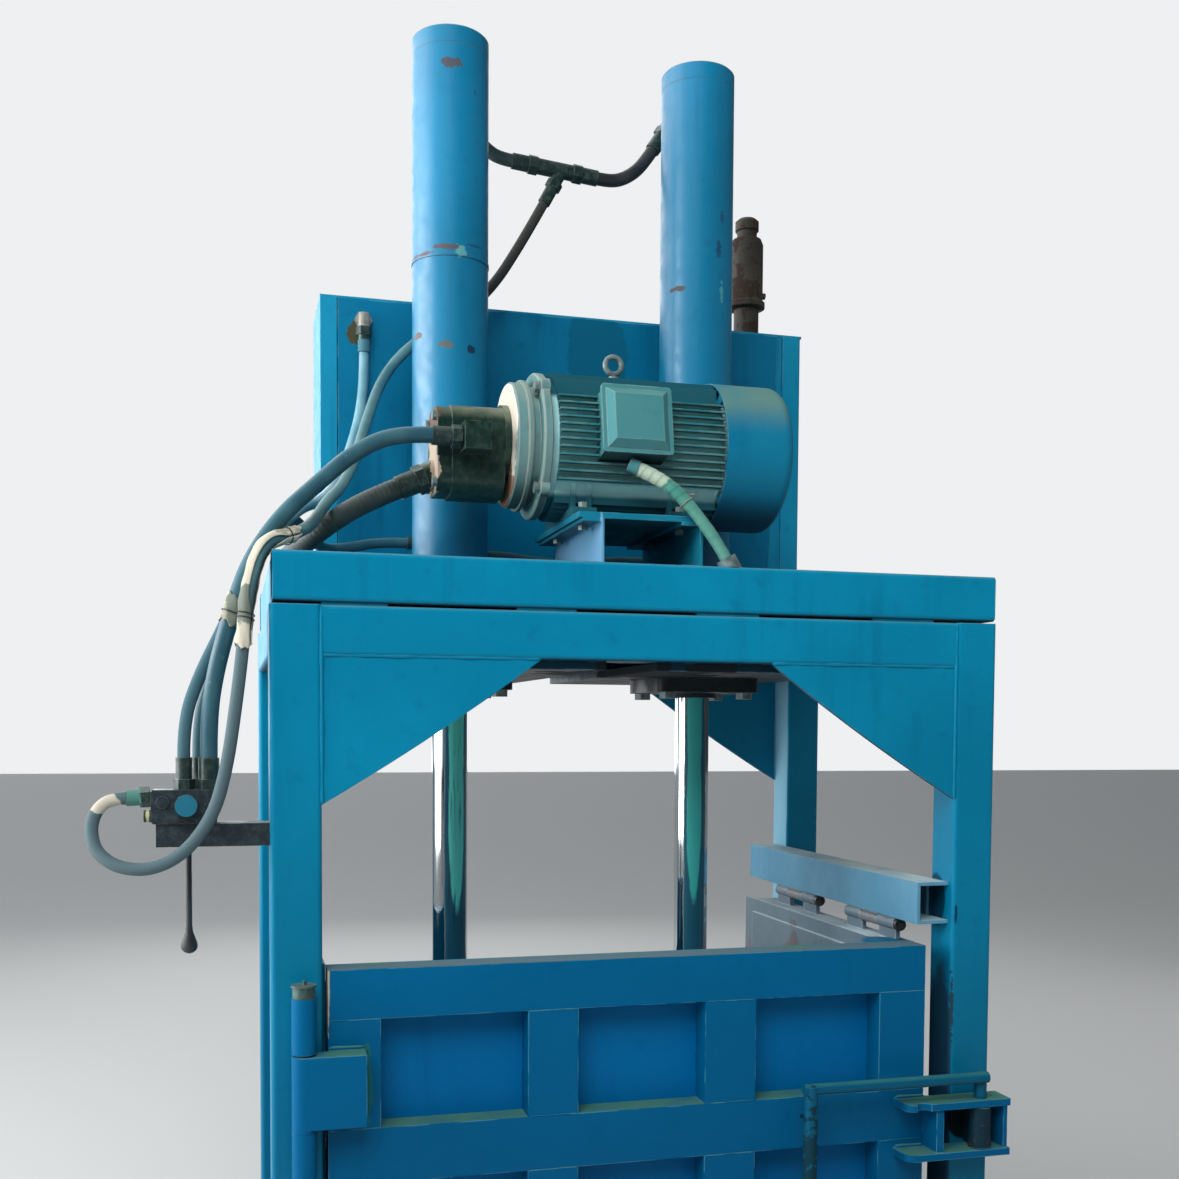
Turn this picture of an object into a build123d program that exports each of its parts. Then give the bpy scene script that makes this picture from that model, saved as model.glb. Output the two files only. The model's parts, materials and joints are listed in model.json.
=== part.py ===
from build123d import *
import math
import os

os.makedirs("parts", exist_ok=True)

# Chip briquetting press: a four-post frame, two hydraulic cylinders on top that push
# a plate down into a chamber, a ribbed front gate on pin hinges with a drop-pin lock,
# a side panel that gives way outward, and an oil tank, motor and gear pump on the deck.
# Millimetres. X runs across the front, Y runs from front to rear, Z is up.
# The origin is the point on the floor midway between the four posts.

# Frame
frame_width = 1600.0
frame_depth = 1030.0
post_side = 100.0
tube_wall = 6.0
tube_corner = 10.0
post_top = 1795.0
beam_height = 100.0
deck_slot = 5.0
deck_height = 100.0
deck_end_inset = 6.0
deck_plate_thickness = 8.0
weld_depth = 12.0
weld_spans = ((-700, -570), (-305, -180), (85, 226), (497, 645))
gusset_thickness = 12.0
gusset_width = 445.0
gusset_drop = 295.0
gusset_bow = 7.0
gusset_set_back = 4.0

# Chamber
base_height = 120.0
floor_thickness = 20.0
joist_pitch = 350.0
wall_thickness = 10.0
rib_depth = 60.0
rib_height = 80.0
left_wall_top = 1070.0
rear_wall_top = 870.0
panel_face_x = 594.0
body_gap = 0.3

# Cylinders and ram
left_cylinder_x = -362.5
right_cylinder_x = 255.5
cylinder_outer = 180.0
cylinder_bore = 150.0
cylinder_bottom = 1643.0
cylinder_top = 3165.0
cap_height = 40.0
cap_bevel = 4.0
seam_height = 2642.0
flange_side = 260.0
flange_thickness = 34.0
mount_plate_width = 508.0
mount_plate_thickness = 18.0
mount_plate_set_back = 30.0
rod_diameter = 85.0
rod_fit = 0.05
gland_length = 100.0
gland_lip = 12.0
piston_bottom = 2260.0
piston_height = 80.0
piston_stud = 50.0
press_plate_bottom = 640.0
press_plate_thickness = 25.0
press_plate_gap = 6.0
ram_web_height = 180.0
ram_web_thickness = 16.0
ram_web_offset = 140.0
socket_diameter = 150.0
socket_height = 24.0
port_height = 3092.0
lower_port_height = 1985.0
lower_port_top = 2032.0
port_offset = 24.0
port_block = 48.0
port_reach = 152.0

# Front gate
gate_left = -690.0
gate_right = 634.0
gate_bottom = 150.0
gate_top = 1070.0
gate_depth = 60.0
gate_skin = 10.0
gate_wall = 8.0
gate_rail = 102.0
gate_mid_rail = 114.0
gate_window_height = 222.0
gate_windows_x = ((-585, -281), (-173, 109), (226, 522))

# Gate hinges
hinge_x = -739.0
hinge_stand_off = 36.0
barrel_diameter = 48.0
pin_diameter = 30.0
pin_fit = 0.05
leaf_right = -618.5
leaf_bottom = 759.0
leaf_top = 911.0
leaf_step = 8.0
barrel_length = 110.0
barrel_gap = 4.0
hinge_pitch = 520.0
pin_head = 22.0

# Gate lock
lock_plate_top = 728.0
lock_plate_thickness = 16.0
lock_plate_spacing = 112.0
lock_plate_left = 560.0
lock_plate_right = 815.0
lock_plate_front = 68.0
lock_web = 18.0
lock_clearance = 3.0
lock_pin_x = 752.0
lock_stand_off = 44.0
lock_pin_diameter = 28.0
lock_pin_tip = 12.0
sleeve_outer = 50.0
sleeve_bore = 34.0
lock_bar_diameter = 25.0
lock_bar_height = 778.0
lock_bar_y = 60.0
lock_pipe_x = 330.0
lock_pipe_diameter = 30.0
lock_pitch = 380.0
notch_x = 600.0
notch_radius = 18.0

# Side rail and side panel
rail_web_x = 622.0
rail_bottom = 1115.0
rail_height = 95.0
rail_thickness = 8.0
rail_front = 20.0
rail_rear = 1010.0
rail_back_gap = 2.0
panel_thickness = 16.0
panel_front = 78.0
panel_rear = 990.0
panel_top = 1060.0
panel_bottom = 145.0
panel_rib_depth = 56.0
panel_hinge_x = 640.0
panel_hinge_z = 1097.0
panel_barrel = 30.0
panel_pin = 20.0
panel_knuckle = 82.0
panel_knuckle_gap = 3.0
panel_hinge_starts = (141.0, 579.0)

# Oil tank
tank_half_width = 650.0
tank_front = 772.0
tank_rear = 1030.0
tank_height = 730.0
tank_wall = 5.0
tank_lip = 6.0
front_plate_thickness = 12.0
breather_x = 544.0
breather_y = 900.0

# Motor, pump and stand
motor_y = 240.0
motor_z = 2175.0
motor_left = -212.0
motor_right = 186.0
motor_core = 128.0
motor_fin = 160.0
fin_thickness = 4.0
fin_pitch = 16.0
fin_rows = 12
foot_bottom = 2011.0
drive_flange = 150.0
drive_flange_left = -286.0
drive_disc = 135.0
drive_disc_length = 38.0
drive_neck_length = 16.0
fan_cover_radius = 164.0
fan_cover_right = 339.0
fan_cover_wall = 3.0
shaft_diameter = 42.0
fan_blades = 7
box_width = 156.0
box_height = 150.0
box_tilt = 10.0
box_shift = 24.5
box_inner = 118.0
box_outer = 184.0
lid_height = 16.0
foot_half = 27.0
foot_bolt_inset = 29.0
stand_left = -163.0
stand_right = 112.0
stand_front = 58.0
stand_rear = 470.0
stand_plate_thickness = 13.0
channel_width = 48.0
channel_wall = 7.0
pump_left = -414.0
pump_bottom = 2053.0
pump_top = 2248.0
pump_width = 150.0
pump_cover_left = -445.0

# Hand valve
valve_left = -1023.0
valve_right = -900.0
valve_bottom = 1365.0
valve_height = 66.0
valve_front = 15.0
valve_rear = 115.0
bracket_left = -1014.0
bracket_front = 20.0
bracket_rear = 80.0
bracket_bottom = 1320.0
spool_x = -957.0
spool_z = 1401.0
spool_diameter = 16.0
spool_fit = 0.05
lever_pivot_drop = 26.0
lever_length = 216.0
lever_diameter = 12.0

# Hoses: outside diameters
pressure_hose = 34.0
return_hose = 25.0
arm_hose = 32.0
suction_hose = 46.0
cable_cover = 32.0
ferrule_length = 42.0
nut_length = 20.0
sleeve_wall = 3.5

# Places derived from the sizes above
front = -frame_depth / 2
rear = frame_depth / 2
half_width = frame_width / 2
inner_x = half_width - post_side
deck_bottom = post_top + deck_slot
deck_top = deck_bottom + deck_height
beam_bottom = post_top - beam_height
floor_top = base_height + floor_thickness
middle_y = 0.0


def block(x0, x1, y0, y1, z0, z1):
    """Rectangular solid between two opposite corners."""
    solid = Box(x1 - x0, y1 - y0, z1 - z0)
    return Pos((x0 + x1) / 2, (y0 + y1) / 2, (z0 + z1) / 2) * solid


def turned(axis):
    """Rotation that points local Z along the named axis."""
    return {"X": Rot(0, 90, 0), "Y": Rot(-90, 0, 0), "Z": Rot(0, 0, 0)}[axis]


def bar(radius, x, y, z, length, axis="Z"):
    """Round bar that starts at a point and runs along an axis."""
    solid = Cylinder(radius, length, align=(Align.CENTER, Align.CENTER, Align.MIN))
    return Pos(x, y, z) * turned(axis) * solid


def ring(outer, inner, x, y, z, length, axis="Z"):
    """Round tube that starts at a point and runs along an axis."""
    return bar(outer, x, y, z, length, axis) - bar(inner, x, y, z, length, axis)


def square_tube(x0, x1, y0, y1, z0, z1, axis):
    """Hollow section with rounded corners that fills a box along an axis."""
    sizes = {"X": (z1 - z0, y1 - y0), "Y": (x1 - x0, z1 - z0), "Z": (x1 - x0, y1 - y0)}
    wide, high = sizes[axis]
    outer = RectangleRounded(wide, high, tube_corner)
    inner_corner = tube_corner - tube_wall
    inner = RectangleRounded(wide - 2 * tube_wall, high - 2 * tube_wall, inner_corner)
    lengths = {"X": x1 - x0, "Y": y1 - y0, "Z": z1 - z0}
    starts = {
        "X": (x0, (y0 + y1) / 2, (z0 + z1) / 2),
        "Y": ((x0 + x1) / 2, y0, (z0 + z1) / 2),
        "Z": ((x0 + x1) / 2, (y0 + y1) / 2, z0),
    }
    section = outer - inner
    return Pos(*starts[axis]) * turned(axis) * extrude(section, lengths[axis])


def hexagon_nut(across, x, y, z, length, axis="Z"):
    """Hexagonal nut or bolt head, by its width across the flats."""
    profile = RegularPolygon(across / 2, 6, major_radius=False)
    return Pos(x, y, z) * turned(axis) * extrude(profile, length)


def bolt(size, x, y, z, grip, axis="Z"):
    """Hexagon head that stands on a face, with its shank through the joint."""
    head = hexagon_nut(1.6 * size, x, y, z, 0.65 * size, axis)
    shank_start = {"X": (x - grip, y, z), "Y": (x, y - grip, z), "Z": (x, y, z - grip)}
    return head + bar(size / 2, *shank_start[axis], grip + 1, axis)


def save(name, *shapes):
    """Write one part, which may be several equal pieces, to its own file."""
    solids = [solid for shape in shapes for solid in shape.solids()]
    whole = solids[0] if len(solids) == 1 else Compound(solids)
    export_step(whole, f"parts/{name}.step")


# Posts: square tubes with rounded corners, each closed by a foot cap.
posts = []
for side in (-1, 1):
    for y0 in (front, rear - post_side):
        x0 = side * half_width - (post_side if side > 0 else 0)
        post = square_tube(x0, x0 + post_side, y0, y0 + post_side, tube_wall, post_top, "Z")
        cap = extrude(RectangleRounded(post_side, post_side, tube_corner), tube_wall)
        cap = Pos(x0 + post_side / 2, y0 + post_side / 2, 0) * cap
        posts.append(post + cap)
save("frame_posts", *posts)

# Crossbeams between the post tops, on all four sides.
crossbeams = []
for y0 in (front, rear - post_side):
    beam = square_tube(-inner_x, inner_x, y0, y0 + post_side, beam_bottom, post_top, "X")
    crossbeams.append(beam)
for x0 in (-half_width, inner_x):
    beam = square_tube(
        x0, x0 + post_side, front + post_side, rear - post_side, beam_bottom, post_top, "Y"
    )
    crossbeams.append(beam)
save("crossbeams", *crossbeams)


def gusset(side, y0):
    """Flame-cut corner plate under a crossbeam, its long edge slightly bowed."""
    top_end = (inner_x - gusset_width, beam_bottom)
    low_end = (inner_x, beam_bottom - gusset_drop)
    length = math.hypot(gusset_width, gusset_drop)
    mid_x = (top_end[0] + low_end[0]) / 2 - gusset_bow * gusset_drop / length
    mid_z = (top_end[1] + low_end[1]) / 2 - gusset_bow * gusset_width / length
    with BuildSketch(Plane.XZ) as outline:
        with BuildLine():
            Line(top_end, (inner_x, beam_bottom))
            Line((inner_x, beam_bottom), low_end)
            ThreePointArc(low_end, (mid_x, mid_z), top_end)
        make_face()
    plate = extrude(outline.sketch, -gusset_thickness)
    if side < 0:
        plate = mirror(plate, Plane.YZ)
    return Pos(0, y0, 0) * plate


gussets = []
for side in (-1, 1):
    for y0 in (front + gusset_set_back, rear - gusset_set_back - gusset_thickness):
        gussets.append(gusset(side, y0))
save("gussets", *gussets)

# Deck frame: four tubes over a narrow slot that stitch welds bridge.
deck_half = half_width - deck_end_inset
deck_beams = []
for y0 in (front, rear - post_side):
    beam = square_tube(-deck_half, deck_half, y0, y0 + post_side, deck_bottom, deck_top, "X")
    deck_beams.append(beam)
for x0 in (-deck_half, deck_half - post_side):
    beam = square_tube(
        x0, x0 + post_side, front + post_side, rear - post_side, deck_bottom, deck_top, "Y"
    )
    deck_beams.append(beam)
save("deck_beams", *deck_beams)

welds = []
for x0, x1 in weld_spans:
    for y0 in (front + tube_corner, rear - tube_corner - weld_depth):
        welds.append(block(x0, x1, y0, y0 + weld_depth, post_top, deck_bottom))
save("stitch_welds", *welds)

cylinder_axes = (left_cylinder_x, right_cylinder_x)
deck_hole = cylinder_outer / 2 + 5
deck_plate = block(
    -deck_half + post_side,
    deck_half - post_side,
    front + post_side,
    rear - post_side,
    deck_top - deck_plate_thickness,
    deck_top,
)
for x in cylinder_axes:
    deck_plate -= bar(deck_hole, x, middle_y, deck_top - 20, 40)
save("deck_plate", deck_plate)

# Cylinder plates: wide plates welded under the front and rear crossbeams.
plate_bottom = beam_bottom - mount_plate_thickness
cylinder_plates = []
for x in cylinder_axes:
    plate = block(
        x - mount_plate_width / 2,
        x + mount_plate_width / 2,
        front + mount_plate_set_back,
        rear - mount_plate_set_back,
        plate_bottom,
        beam_bottom,
    )
    plate -= bar(cylinder_outer / 2 + 2, x, middle_y, plate_bottom - 1, mount_plate_thickness + 2)
    for side in (-1, 1):
        gusset_y = side * (rear - gusset_set_back - gusset_thickness / 2)
        slot = block(
            -inner_x, inner_x, gusset_y - gusset_thickness / 2, gusset_y + gusset_thickness / 2,
            plate_bottom, beam_bottom,
        )
        plate -= slot
    cylinder_plates.append(plate)
save("cylinder_plates", *cylinder_plates)

# Base: four beams between the posts and the chamber floor on top of them.
base_beams = []
for y0 in (front, rear - post_side):
    beam = square_tube(-inner_x, inner_x, y0, y0 + post_side, 0, base_height, "X")
    base_beams.append(beam)
for x0 in (-half_width, inner_x):
    beam = square_tube(
        x0, x0 + post_side, front + post_side, rear - post_side, 0, base_height, "Y"
    )
    base_beams.append(beam)
for x in (-joist_pitch, 0, joist_pitch):
    beam = square_tube(
        x - post_side / 2, x + post_side / 2, front + post_side, rear - post_side,
        0, base_height, "Y",
    )
    base_beams.append(beam)
save("base_beams", *base_beams)

wall_front = front + gate_depth + gate_skin + 5
rear_wall_face = rear - post_side
floor_plate = block(
    -inner_x, panel_face_x - body_gap, wall_front, rear_wall_face, base_height, floor_top
)
save("floor_plate", floor_plate)

# Left wall and rear wall: plates with horizontal stiffeners on the outside.
rib_levels = (floor_top + 60, floor_top + 330, floor_top + 600)
left_wall = block(
    -inner_x, -inner_x + wall_thickness, wall_front, rear_wall_face, floor_top, left_wall_top
)
for z in rib_levels:
    left_wall += block(
        -inner_x - rib_depth, -inner_x, front + post_side, rear - post_side, z, z + rib_height
    )
top_rib = left_wall_top - rib_height
left_wall += block(
    -inner_x - rib_depth, -inner_x, front + post_side, rear - post_side, top_rib, left_wall_top
)
save("left_wall", left_wall)

rear_wall_right = panel_face_x - 4
rear_wall = block(
    -inner_x, rear_wall_right, rear_wall_face, rear_wall_face + wall_thickness,
    base_height, rear_wall_top,
)
for z in rib_levels:
    rear_wall += block(
        -inner_x,
        rear_wall_right,
        rear_wall_face + wall_thickness,
        rear_wall_face + wall_thickness + rib_depth,
        z,
        z + rib_height,
    )
rear_wall += block(
    rear_wall_right - rib_height,
    rear_wall_right,
    rear_wall_face + wall_thickness,
    rear_wall_face + wall_thickness + rib_depth,
    base_height,
    rear_wall_top,
)
save("rear_wall", rear_wall)

# Side rail: a channel against the inner faces of the right-hand posts, closed between them.
rail_outer = block(
    rail_web_x, inner_x, front + rail_front, front + rail_rear, rail_bottom, rail_bottom + rail_height
)
rail_hollow = block(
    rail_web_x + rail_thickness,
    inner_x + 1,
    front + rail_front - 1,
    front + rail_rear + 1,
    rail_bottom + rail_thickness,
    rail_bottom + rail_height - rail_thickness,
)
rail_back = block(
    inner_x - rail_thickness,
    inner_x,
    front + post_side + rail_back_gap,
    rear - post_side - rail_back_gap,
    rail_bottom + rail_thickness - 1,
    rail_bottom + rail_height - rail_thickness + 1,
)
save("side_rail", rail_outer - rail_hollow + rail_back)

# Cylinders: tube, bevelled cap, square head flange, gland, port bosses.
tubes = []
caps = []
heads = []
for x in cylinder_axes:
    tube_length = cylinder_top - cap_height - cylinder_bottom
    tube = ring(cylinder_outer / 2, cylinder_bore / 2, x, 0, cylinder_bottom, tube_length)
    if x == left_cylinder_x:
        bead = cylinder_outer / 2 + 1.5
        tube += ring(bead, cylinder_outer / 2 - 1, x, 0, seam_height, 8)
    tubes.append(tube)
    cap = bar(cylinder_outer / 2, x, 0, cylinder_top - cap_height, cap_height)
    caps.append(chamfer(cap.edges().group_by(Axis.Z)[-1], cap_bevel))
    flange = block(
        x - flange_side / 2, x + flange_side / 2, -flange_side / 2, flange_side / 2,
        cylinder_bottom, cylinder_bottom + flange_thickness,
    )
    flange = fillet(flange.edges().filter_by(Axis.Z), 20)
    heads.append(flange - bar(cylinder_outer / 2, x, 0, cylinder_bottom - 1, 100))
    gland = bar(cylinder_bore / 2, x, 0, cylinder_bottom, gland_length)
    gland += bar(cylinder_bore / 2 - 15, x, 0, cylinder_bottom - gland_lip, gland_lip)
    heads.append(gland - bar(rod_diameter / 2 + rod_fit, x, 0, cylinder_bottom - 50, 400))
save("cylinder_tubes", *tubes)
save("cylinder_caps", *caps)
save("cylinder_heads", *heads)

# Ram: rods with pistons, press plate and the welded grillage between them.
plate_left = -inner_x + wall_thickness + press_plate_gap
plate_right = panel_face_x - press_plate_gap
plate_front = wall_front + press_plate_gap
plate_rear = rear_wall_face - press_plate_gap
web_bottom = press_plate_bottom + press_plate_thickness
web_top = web_bottom + ram_web_height
rod_bottom = web_top + ram_web_thickness
rods = []
for x in cylinder_axes:
    rod = bar(rod_diameter / 2, x, 0, rod_bottom, piston_bottom - rod_bottom)
    rod += bar(piston_stud / 2, x, 0, piston_bottom - 1, piston_height + 1)
    rods.append(rod)
    piston = ring(
        cylinder_bore / 2 - rod_fit, piston_stud / 2, x, 0, piston_bottom, piston_height
    )
    rods.append(piston)
save("piston_rods", *rods)

press_plate = block(
    plate_left, plate_right, plate_front, plate_rear, press_plate_bottom, web_bottom
)
press_plate = chamfer(press_plate.edges().group_by(Axis.Z)[0], 5)
save("press_plate", press_plate)

web_end = 45.0
grillage = None
for side in (-1, 1):
    y = side * ram_web_offset
    web = block(
        plate_left + web_end, plate_right - web_end, y - ram_web_thickness / 2,
        y + ram_web_thickness / 2, web_bottom, web_top,
    )
    grillage = web if grillage is None else grillage + web
inner_web = ram_web_offset - ram_web_thickness / 2
for x in cylinder_axes:
    for shift in (-95, 95):
        grillage += block(
            x + shift - ram_web_thickness / 2, x + shift + ram_web_thickness / 2,
            -inner_web - 1, inner_web + 1, web_bottom, web_top,
        )
        for side in (-1, 1):
            y_in = side * (ram_web_offset + ram_web_thickness / 2 - 1)
            y_out = side * (ram_web_offset + 210)
            outline = Polyline(
                (y_in, web_bottom), (y_out, web_bottom), (y_out, web_bottom + 30), (y_in, web_top)
            )
            wing = make_face(Plane.YZ * Wire(outline.edges() + [Line(outline @ 1, outline @ 0).edge()]))
            wing = extrude(wing, ram_web_thickness)
            grillage += Pos(x + shift - ram_web_thickness / 2, 0, 0) * wing
    grillage += block(x - 125, x + 125, -170, 170, web_top, rod_bottom)
save("ram_grillage", grillage)

sockets = []
for x in cylinder_axes:
    socket = bar(socket_diameter / 2, x, 0, rod_bottom, socket_height)
    socket -= bar(rod_diameter / 2, x, 0, rod_bottom - 1, socket_height + 2)
    sockets.append(fillet(socket.edges().group_by(Axis.Z)[-1], 4))
save("rod_sockets", *sockets)


# Front gate: a pressed grid of rails and stiles, hollow at the back, with a skin.
def grid(grow):
    """Gate grid outline; grow makes the windows larger and the frame smaller."""
    wide = gate_right - gate_left - 2 * grow
    high = gate_top - gate_bottom - 2 * grow
    middle = ((gate_left + gate_right) / 2, (gate_top + gate_bottom) / 2)
    outline = Pos(*middle) * Rectangle(wide, high)
    upper_top = gate_top - gate_rail
    upper_bottom = upper_top - gate_window_height
    lower_top = upper_bottom - gate_mid_rail
    lower_bottom = gate_bottom + gate_mid_rail
    for x0, x1 in gate_windows_x:
        for z0, z1 in ((upper_bottom, upper_top), (lower_bottom, lower_top)):
            window = Rectangle(x1 - x0 + 2 * grow, z1 - z0 + 2 * grow)
            outline -= Pos((x0 + x1) / 2, (z0 + z1) / 2) * window
    return outline


gate_plane = Plane((0, front, 0), x_dir=(1, 0, 0), z_dir=(0, -1, 0))
gate_frame = extrude(gate_plane * grid(0), -gate_depth)
hollow = extrude(gate_plane * grid(gate_wall), -gate_depth)
gate_frame -= Pos(0, gate_wall, 0) * hollow
save("gate_frame", gate_frame)

skin = block(
    gate_left, gate_right, front + gate_depth, front + gate_depth + gate_skin, gate_bottom, gate_top
)
save("gate_skin", skin)

hinge_y = front - hinge_stand_off
barrel_radius = barrel_diameter / 2
leaf_bore = pin_diameter / 2 + pin_fit
leaves = []
post_barrels = []
pins = []
for level in (0, -hinge_pitch):
    z0 = leaf_bottom + level + body_gap
    z1 = leaf_top + level
    leaf = bar(barrel_radius, hinge_x, hinge_y, z0, z1 - z0)
    leaf += block(
        hinge_x, leaf_right, hinge_y - barrel_radius, hinge_y + barrel_radius, z0 + leaf_step, z1
    )
    leaf += block(gate_left, leaf_right, hinge_y, front, z0 + leaf_step, z1)
    leaf -= bar(leaf_bore, hinge_x, hinge_y, z0 - 1, z1 - z0 + 2)
    leaves.append(leaf)
    low = leaf_bottom + level - barrel_length
    high = z1 + barrel_gap
    for start in (low, high):
        length = barrel_length
        barrel = bar(barrel_radius, hinge_x, hinge_y, start, length)
        barrel += block(hinge_x - 11, hinge_x + 11, hinge_y, front, start, start + length)
        barrel -= bar(pin_diameter / 2, hinge_x, hinge_y, start - 1, length + 2)
        post_barrels.append(barrel)
    pin_length = high + barrel_length + pin_head - low
    pin = bar(pin_diameter / 2, hinge_x, hinge_y, low, pin_length)
    pin += bar(barrel_radius - 2, hinge_x, hinge_y, high + barrel_length, pin_head)
    pin += bar(barrel_radius + 1, hinge_x, hinge_y, high + barrel_length + pin_head, 4)
    pin += bar(4, hinge_x + 2, hinge_y, high + barrel_length + pin_head + 3, 9)
    pins.append(pin)
save("gate_leaves", *leaves)
save("post_barrels", *post_barrels)
save("gate_pins", *pins)

# Gate lock: plates on the gate reach round sleeves on the post; a lifting frame
# of two bars and a pipe carries a pin for each sleeve.
lock_y = front - lock_stand_off
lock_hole = lock_pin_diameter / 2 + 0.1
edge_x = gate_right


def lock_plate(z0, notched):
    """Lock plate with a rounded corner, a pin hole and, on the upper one, a notch."""
    plate = block(
        lock_plate_left, lock_plate_right, front - lock_plate_front, front, z0,
        z0 + lock_plate_thickness,
    )
    corner = plate.edges().filter_by(Axis.Z).sort_by(Axis.Y)[0:2].sort_by(Axis.X)[0]
    plate = fillet(corner, 22)
    plate -= block(
        edge_x + lock_web, lock_plate_right + 1, front - lock_clearance, front + 1, z0 - 1,
        z0 + lock_plate_thickness + 1,
    )
    plate -= bar(lock_hole, lock_pin_x, lock_y, z0 - 1, lock_plate_thickness + 2)
    if notched:
        plate -= bar(
            notch_radius, notch_x, front - lock_plate_front - 4, z0 - 1, lock_plate_thickness + 2
        )
    return plate


brackets = []
sleeves = []
for level in (0, -lock_pitch):
    upper = lock_plate_top - lock_plate_thickness + level
    lower = upper - lock_plate_spacing
    inside = lower + lock_plate_thickness
    bracket = lock_plate(upper, True) + lock_plate(lower, False)
    bracket += block(
        edge_x, edge_x + lock_web, front - lock_plate_front + 6, front + gate_depth, inside,
        upper,
    )
    bracket += block(
        lock_plate_right - 14, lock_plate_right - 4, front - lock_plate_front + 6,
        front - lock_clearance, inside, upper,
    )
    brackets.append(bracket)
    sleeve_bottom = inside + 2
    sleeve_length = upper - inside - 4
    sleeve = bar(sleeve_outer / 2, lock_pin_x, lock_y, sleeve_bottom, sleeve_length)
    sleeve += block(
        lock_pin_x - 14, lock_pin_x + 14, lock_y, front, sleeve_bottom,
        sleeve_bottom + sleeve_length,
    )
    sleeve -= bar(sleeve_bore / 2, lock_pin_x, lock_y, sleeve_bottom - 1, sleeve_length + 2)
    sleeves.append(sleeve)
pipe_y = front - lock_bar_y
pipe_hole = lock_pipe_diameter / 2 + 0.1
for z in (545.0, 455.0):
    guide = block(lock_pipe_x - 28, lock_pipe_x + 28, pipe_y - 26, front, z, z + 14)
    brackets.append(guide - bar(pipe_hole, lock_pipe_x, pipe_y, z - 1, 16))
save("lock_brackets", *brackets)
save("lock_sleeves", *sleeves)

lock_frame = None
for level in (0, -lock_pitch):
    z = lock_bar_height + level
    tip = lock_plate_top - lock_plate_thickness + level + 4
    rail = bar(lock_bar_diameter / 2, lock_pipe_x - 16, pipe_y, z, lock_pin_x + 8 - lock_pipe_x + 16, "X")
    pin = bar(lock_pin_diameter / 2, lock_pin_x, lock_y, tip, z - tip)
    pin += block(
        lock_pin_x - 10, lock_pin_x + 8, pipe_y, lock_y, z - 10, z + 10
    )
    lock_frame = rail + pin if lock_frame is None else lock_frame + rail + pin
pipe_bottom = lock_bar_height - lock_pitch - 7
lock_frame += bar(lock_pipe_diameter / 2, lock_pipe_x, pipe_y, pipe_bottom, lock_pitch + 14)
save("lock_frame", lock_frame)

# Side panel: plate with outside ribs, a top lip that carries the hinge knuckles,
# and a separate wear plate on the chamber side.
lip_x = panel_face_x + panel_thickness
panel_y0 = front + panel_front
panel_y1 = front + panel_rear
rib_y0 = front + post_side + 14
rib_y1 = rear - post_side - 14
side_panel = block(
    panel_face_x + 6, lip_x, panel_y0, panel_y1, panel_bottom, panel_top
)
for z in (panel_bottom + 40, panel_bottom + 330, panel_bottom + 620, panel_top - 12):
    tall = 12 if z == panel_top - 12 else 70
    side_panel += block(lip_x, lip_x + panel_rib_depth, rib_y0, rib_y1, z, z + tall)
for y in (rib_y0, -6, rib_y1 - 12):
    side_panel += block(
        lip_x, lip_x + panel_rib_depth, y, y + 12, panel_bottom + 40, panel_top - 12
    )
knuckle_radius = panel_barrel / 2
panel_pins = []
rail_knuckles = []
for start in panel_hinge_starts:
    y_positions = [front + start + i * (panel_knuckle + panel_knuckle_gap) for i in range(3)]
    for index, y in enumerate(y_positions):
        barrel = bar(knuckle_radius, panel_hinge_x, y, panel_hinge_z, panel_knuckle, "Y")
        if index == 1:
            pad = block(
                panel_hinge_x - 8, panel_hinge_x + 8, y, y + panel_knuckle, panel_hinge_z,
                rail_bottom,
            )
            barrel = barrel + pad
            bore = panel_pin / 2
        else:
            pad = block(
                panel_hinge_x - 6, panel_hinge_x + 6, y, y + panel_knuckle, panel_top - 6,
                panel_hinge_z,
            )
            barrel = barrel + pad
            bore = panel_pin / 2 + pin_fit
        barrel -= bar(bore, panel_hinge_x, y - 1, panel_hinge_z, panel_knuckle + 2, "Y")
        if index == 1:
            rail_knuckles.append(barrel)
        else:
            side_panel += barrel
    pin_start = y_positions[0] - 14
    pin_end = y_positions[2] + panel_knuckle + 6
    pin = bar(panel_pin / 2, panel_hinge_x, pin_start, panel_hinge_z, pin_end - pin_start, "Y")
    pin += bar(knuckle_radius - 1, panel_hinge_x, pin_start, panel_hinge_z, 13.5, "Y")
    panel_pins.append(pin)
side_panel += block(lip_x - 2, lip_x + 24, panel_y0, panel_y0 + 44, panel_top - 14, panel_top)
wear_plate = block(
    panel_face_x, panel_face_x + 6, panel_y0 + 6, rear_wall_face - 4, panel_bottom + 4,
    panel_top - 38,
)
save("side_panel", side_panel, wear_plate)
save("rail_knuckles", *rail_knuckles)
save("panel_pins", *panel_pins)

# Oil tank: welded box with a lip round the lid, corner strips and a front plate.
tank_y0 = front + tank_front
tank_y1 = front + tank_rear
tank_top = deck_top + tank_height
tank = block(-tank_half_width, tank_half_width, tank_y0, tank_y1, deck_top, tank_top)
tank -= block(
    -tank_half_width + tank_wall,
    tank_half_width - tank_wall,
    tank_y0 + tank_wall,
    tank_y1 - tank_wall,
    deck_top + tank_wall,
    tank_top - tank_wall,
)
strip_y = tank_y0 - front_plate_thickness
tank += block(-tank_half_width, -tank_half_width + 41, strip_y, tank_y0, deck_top, tank_top)
right_strip = block(tank_half_width - 53, tank_half_width, strip_y, tank_y0, deck_top, tank_top)
right_strip = fillet(right_strip.edges().filter_by(Axis.Z).sort_by(Axis.Y)[0:2].sort_by(Axis.X)[1], 8)
tank += right_strip
tank += block(
    -tank_half_width, tank_half_width + tank_lip, tank_y0 - 2, tank_y1, tank_top, tank_top + 6
)
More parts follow.
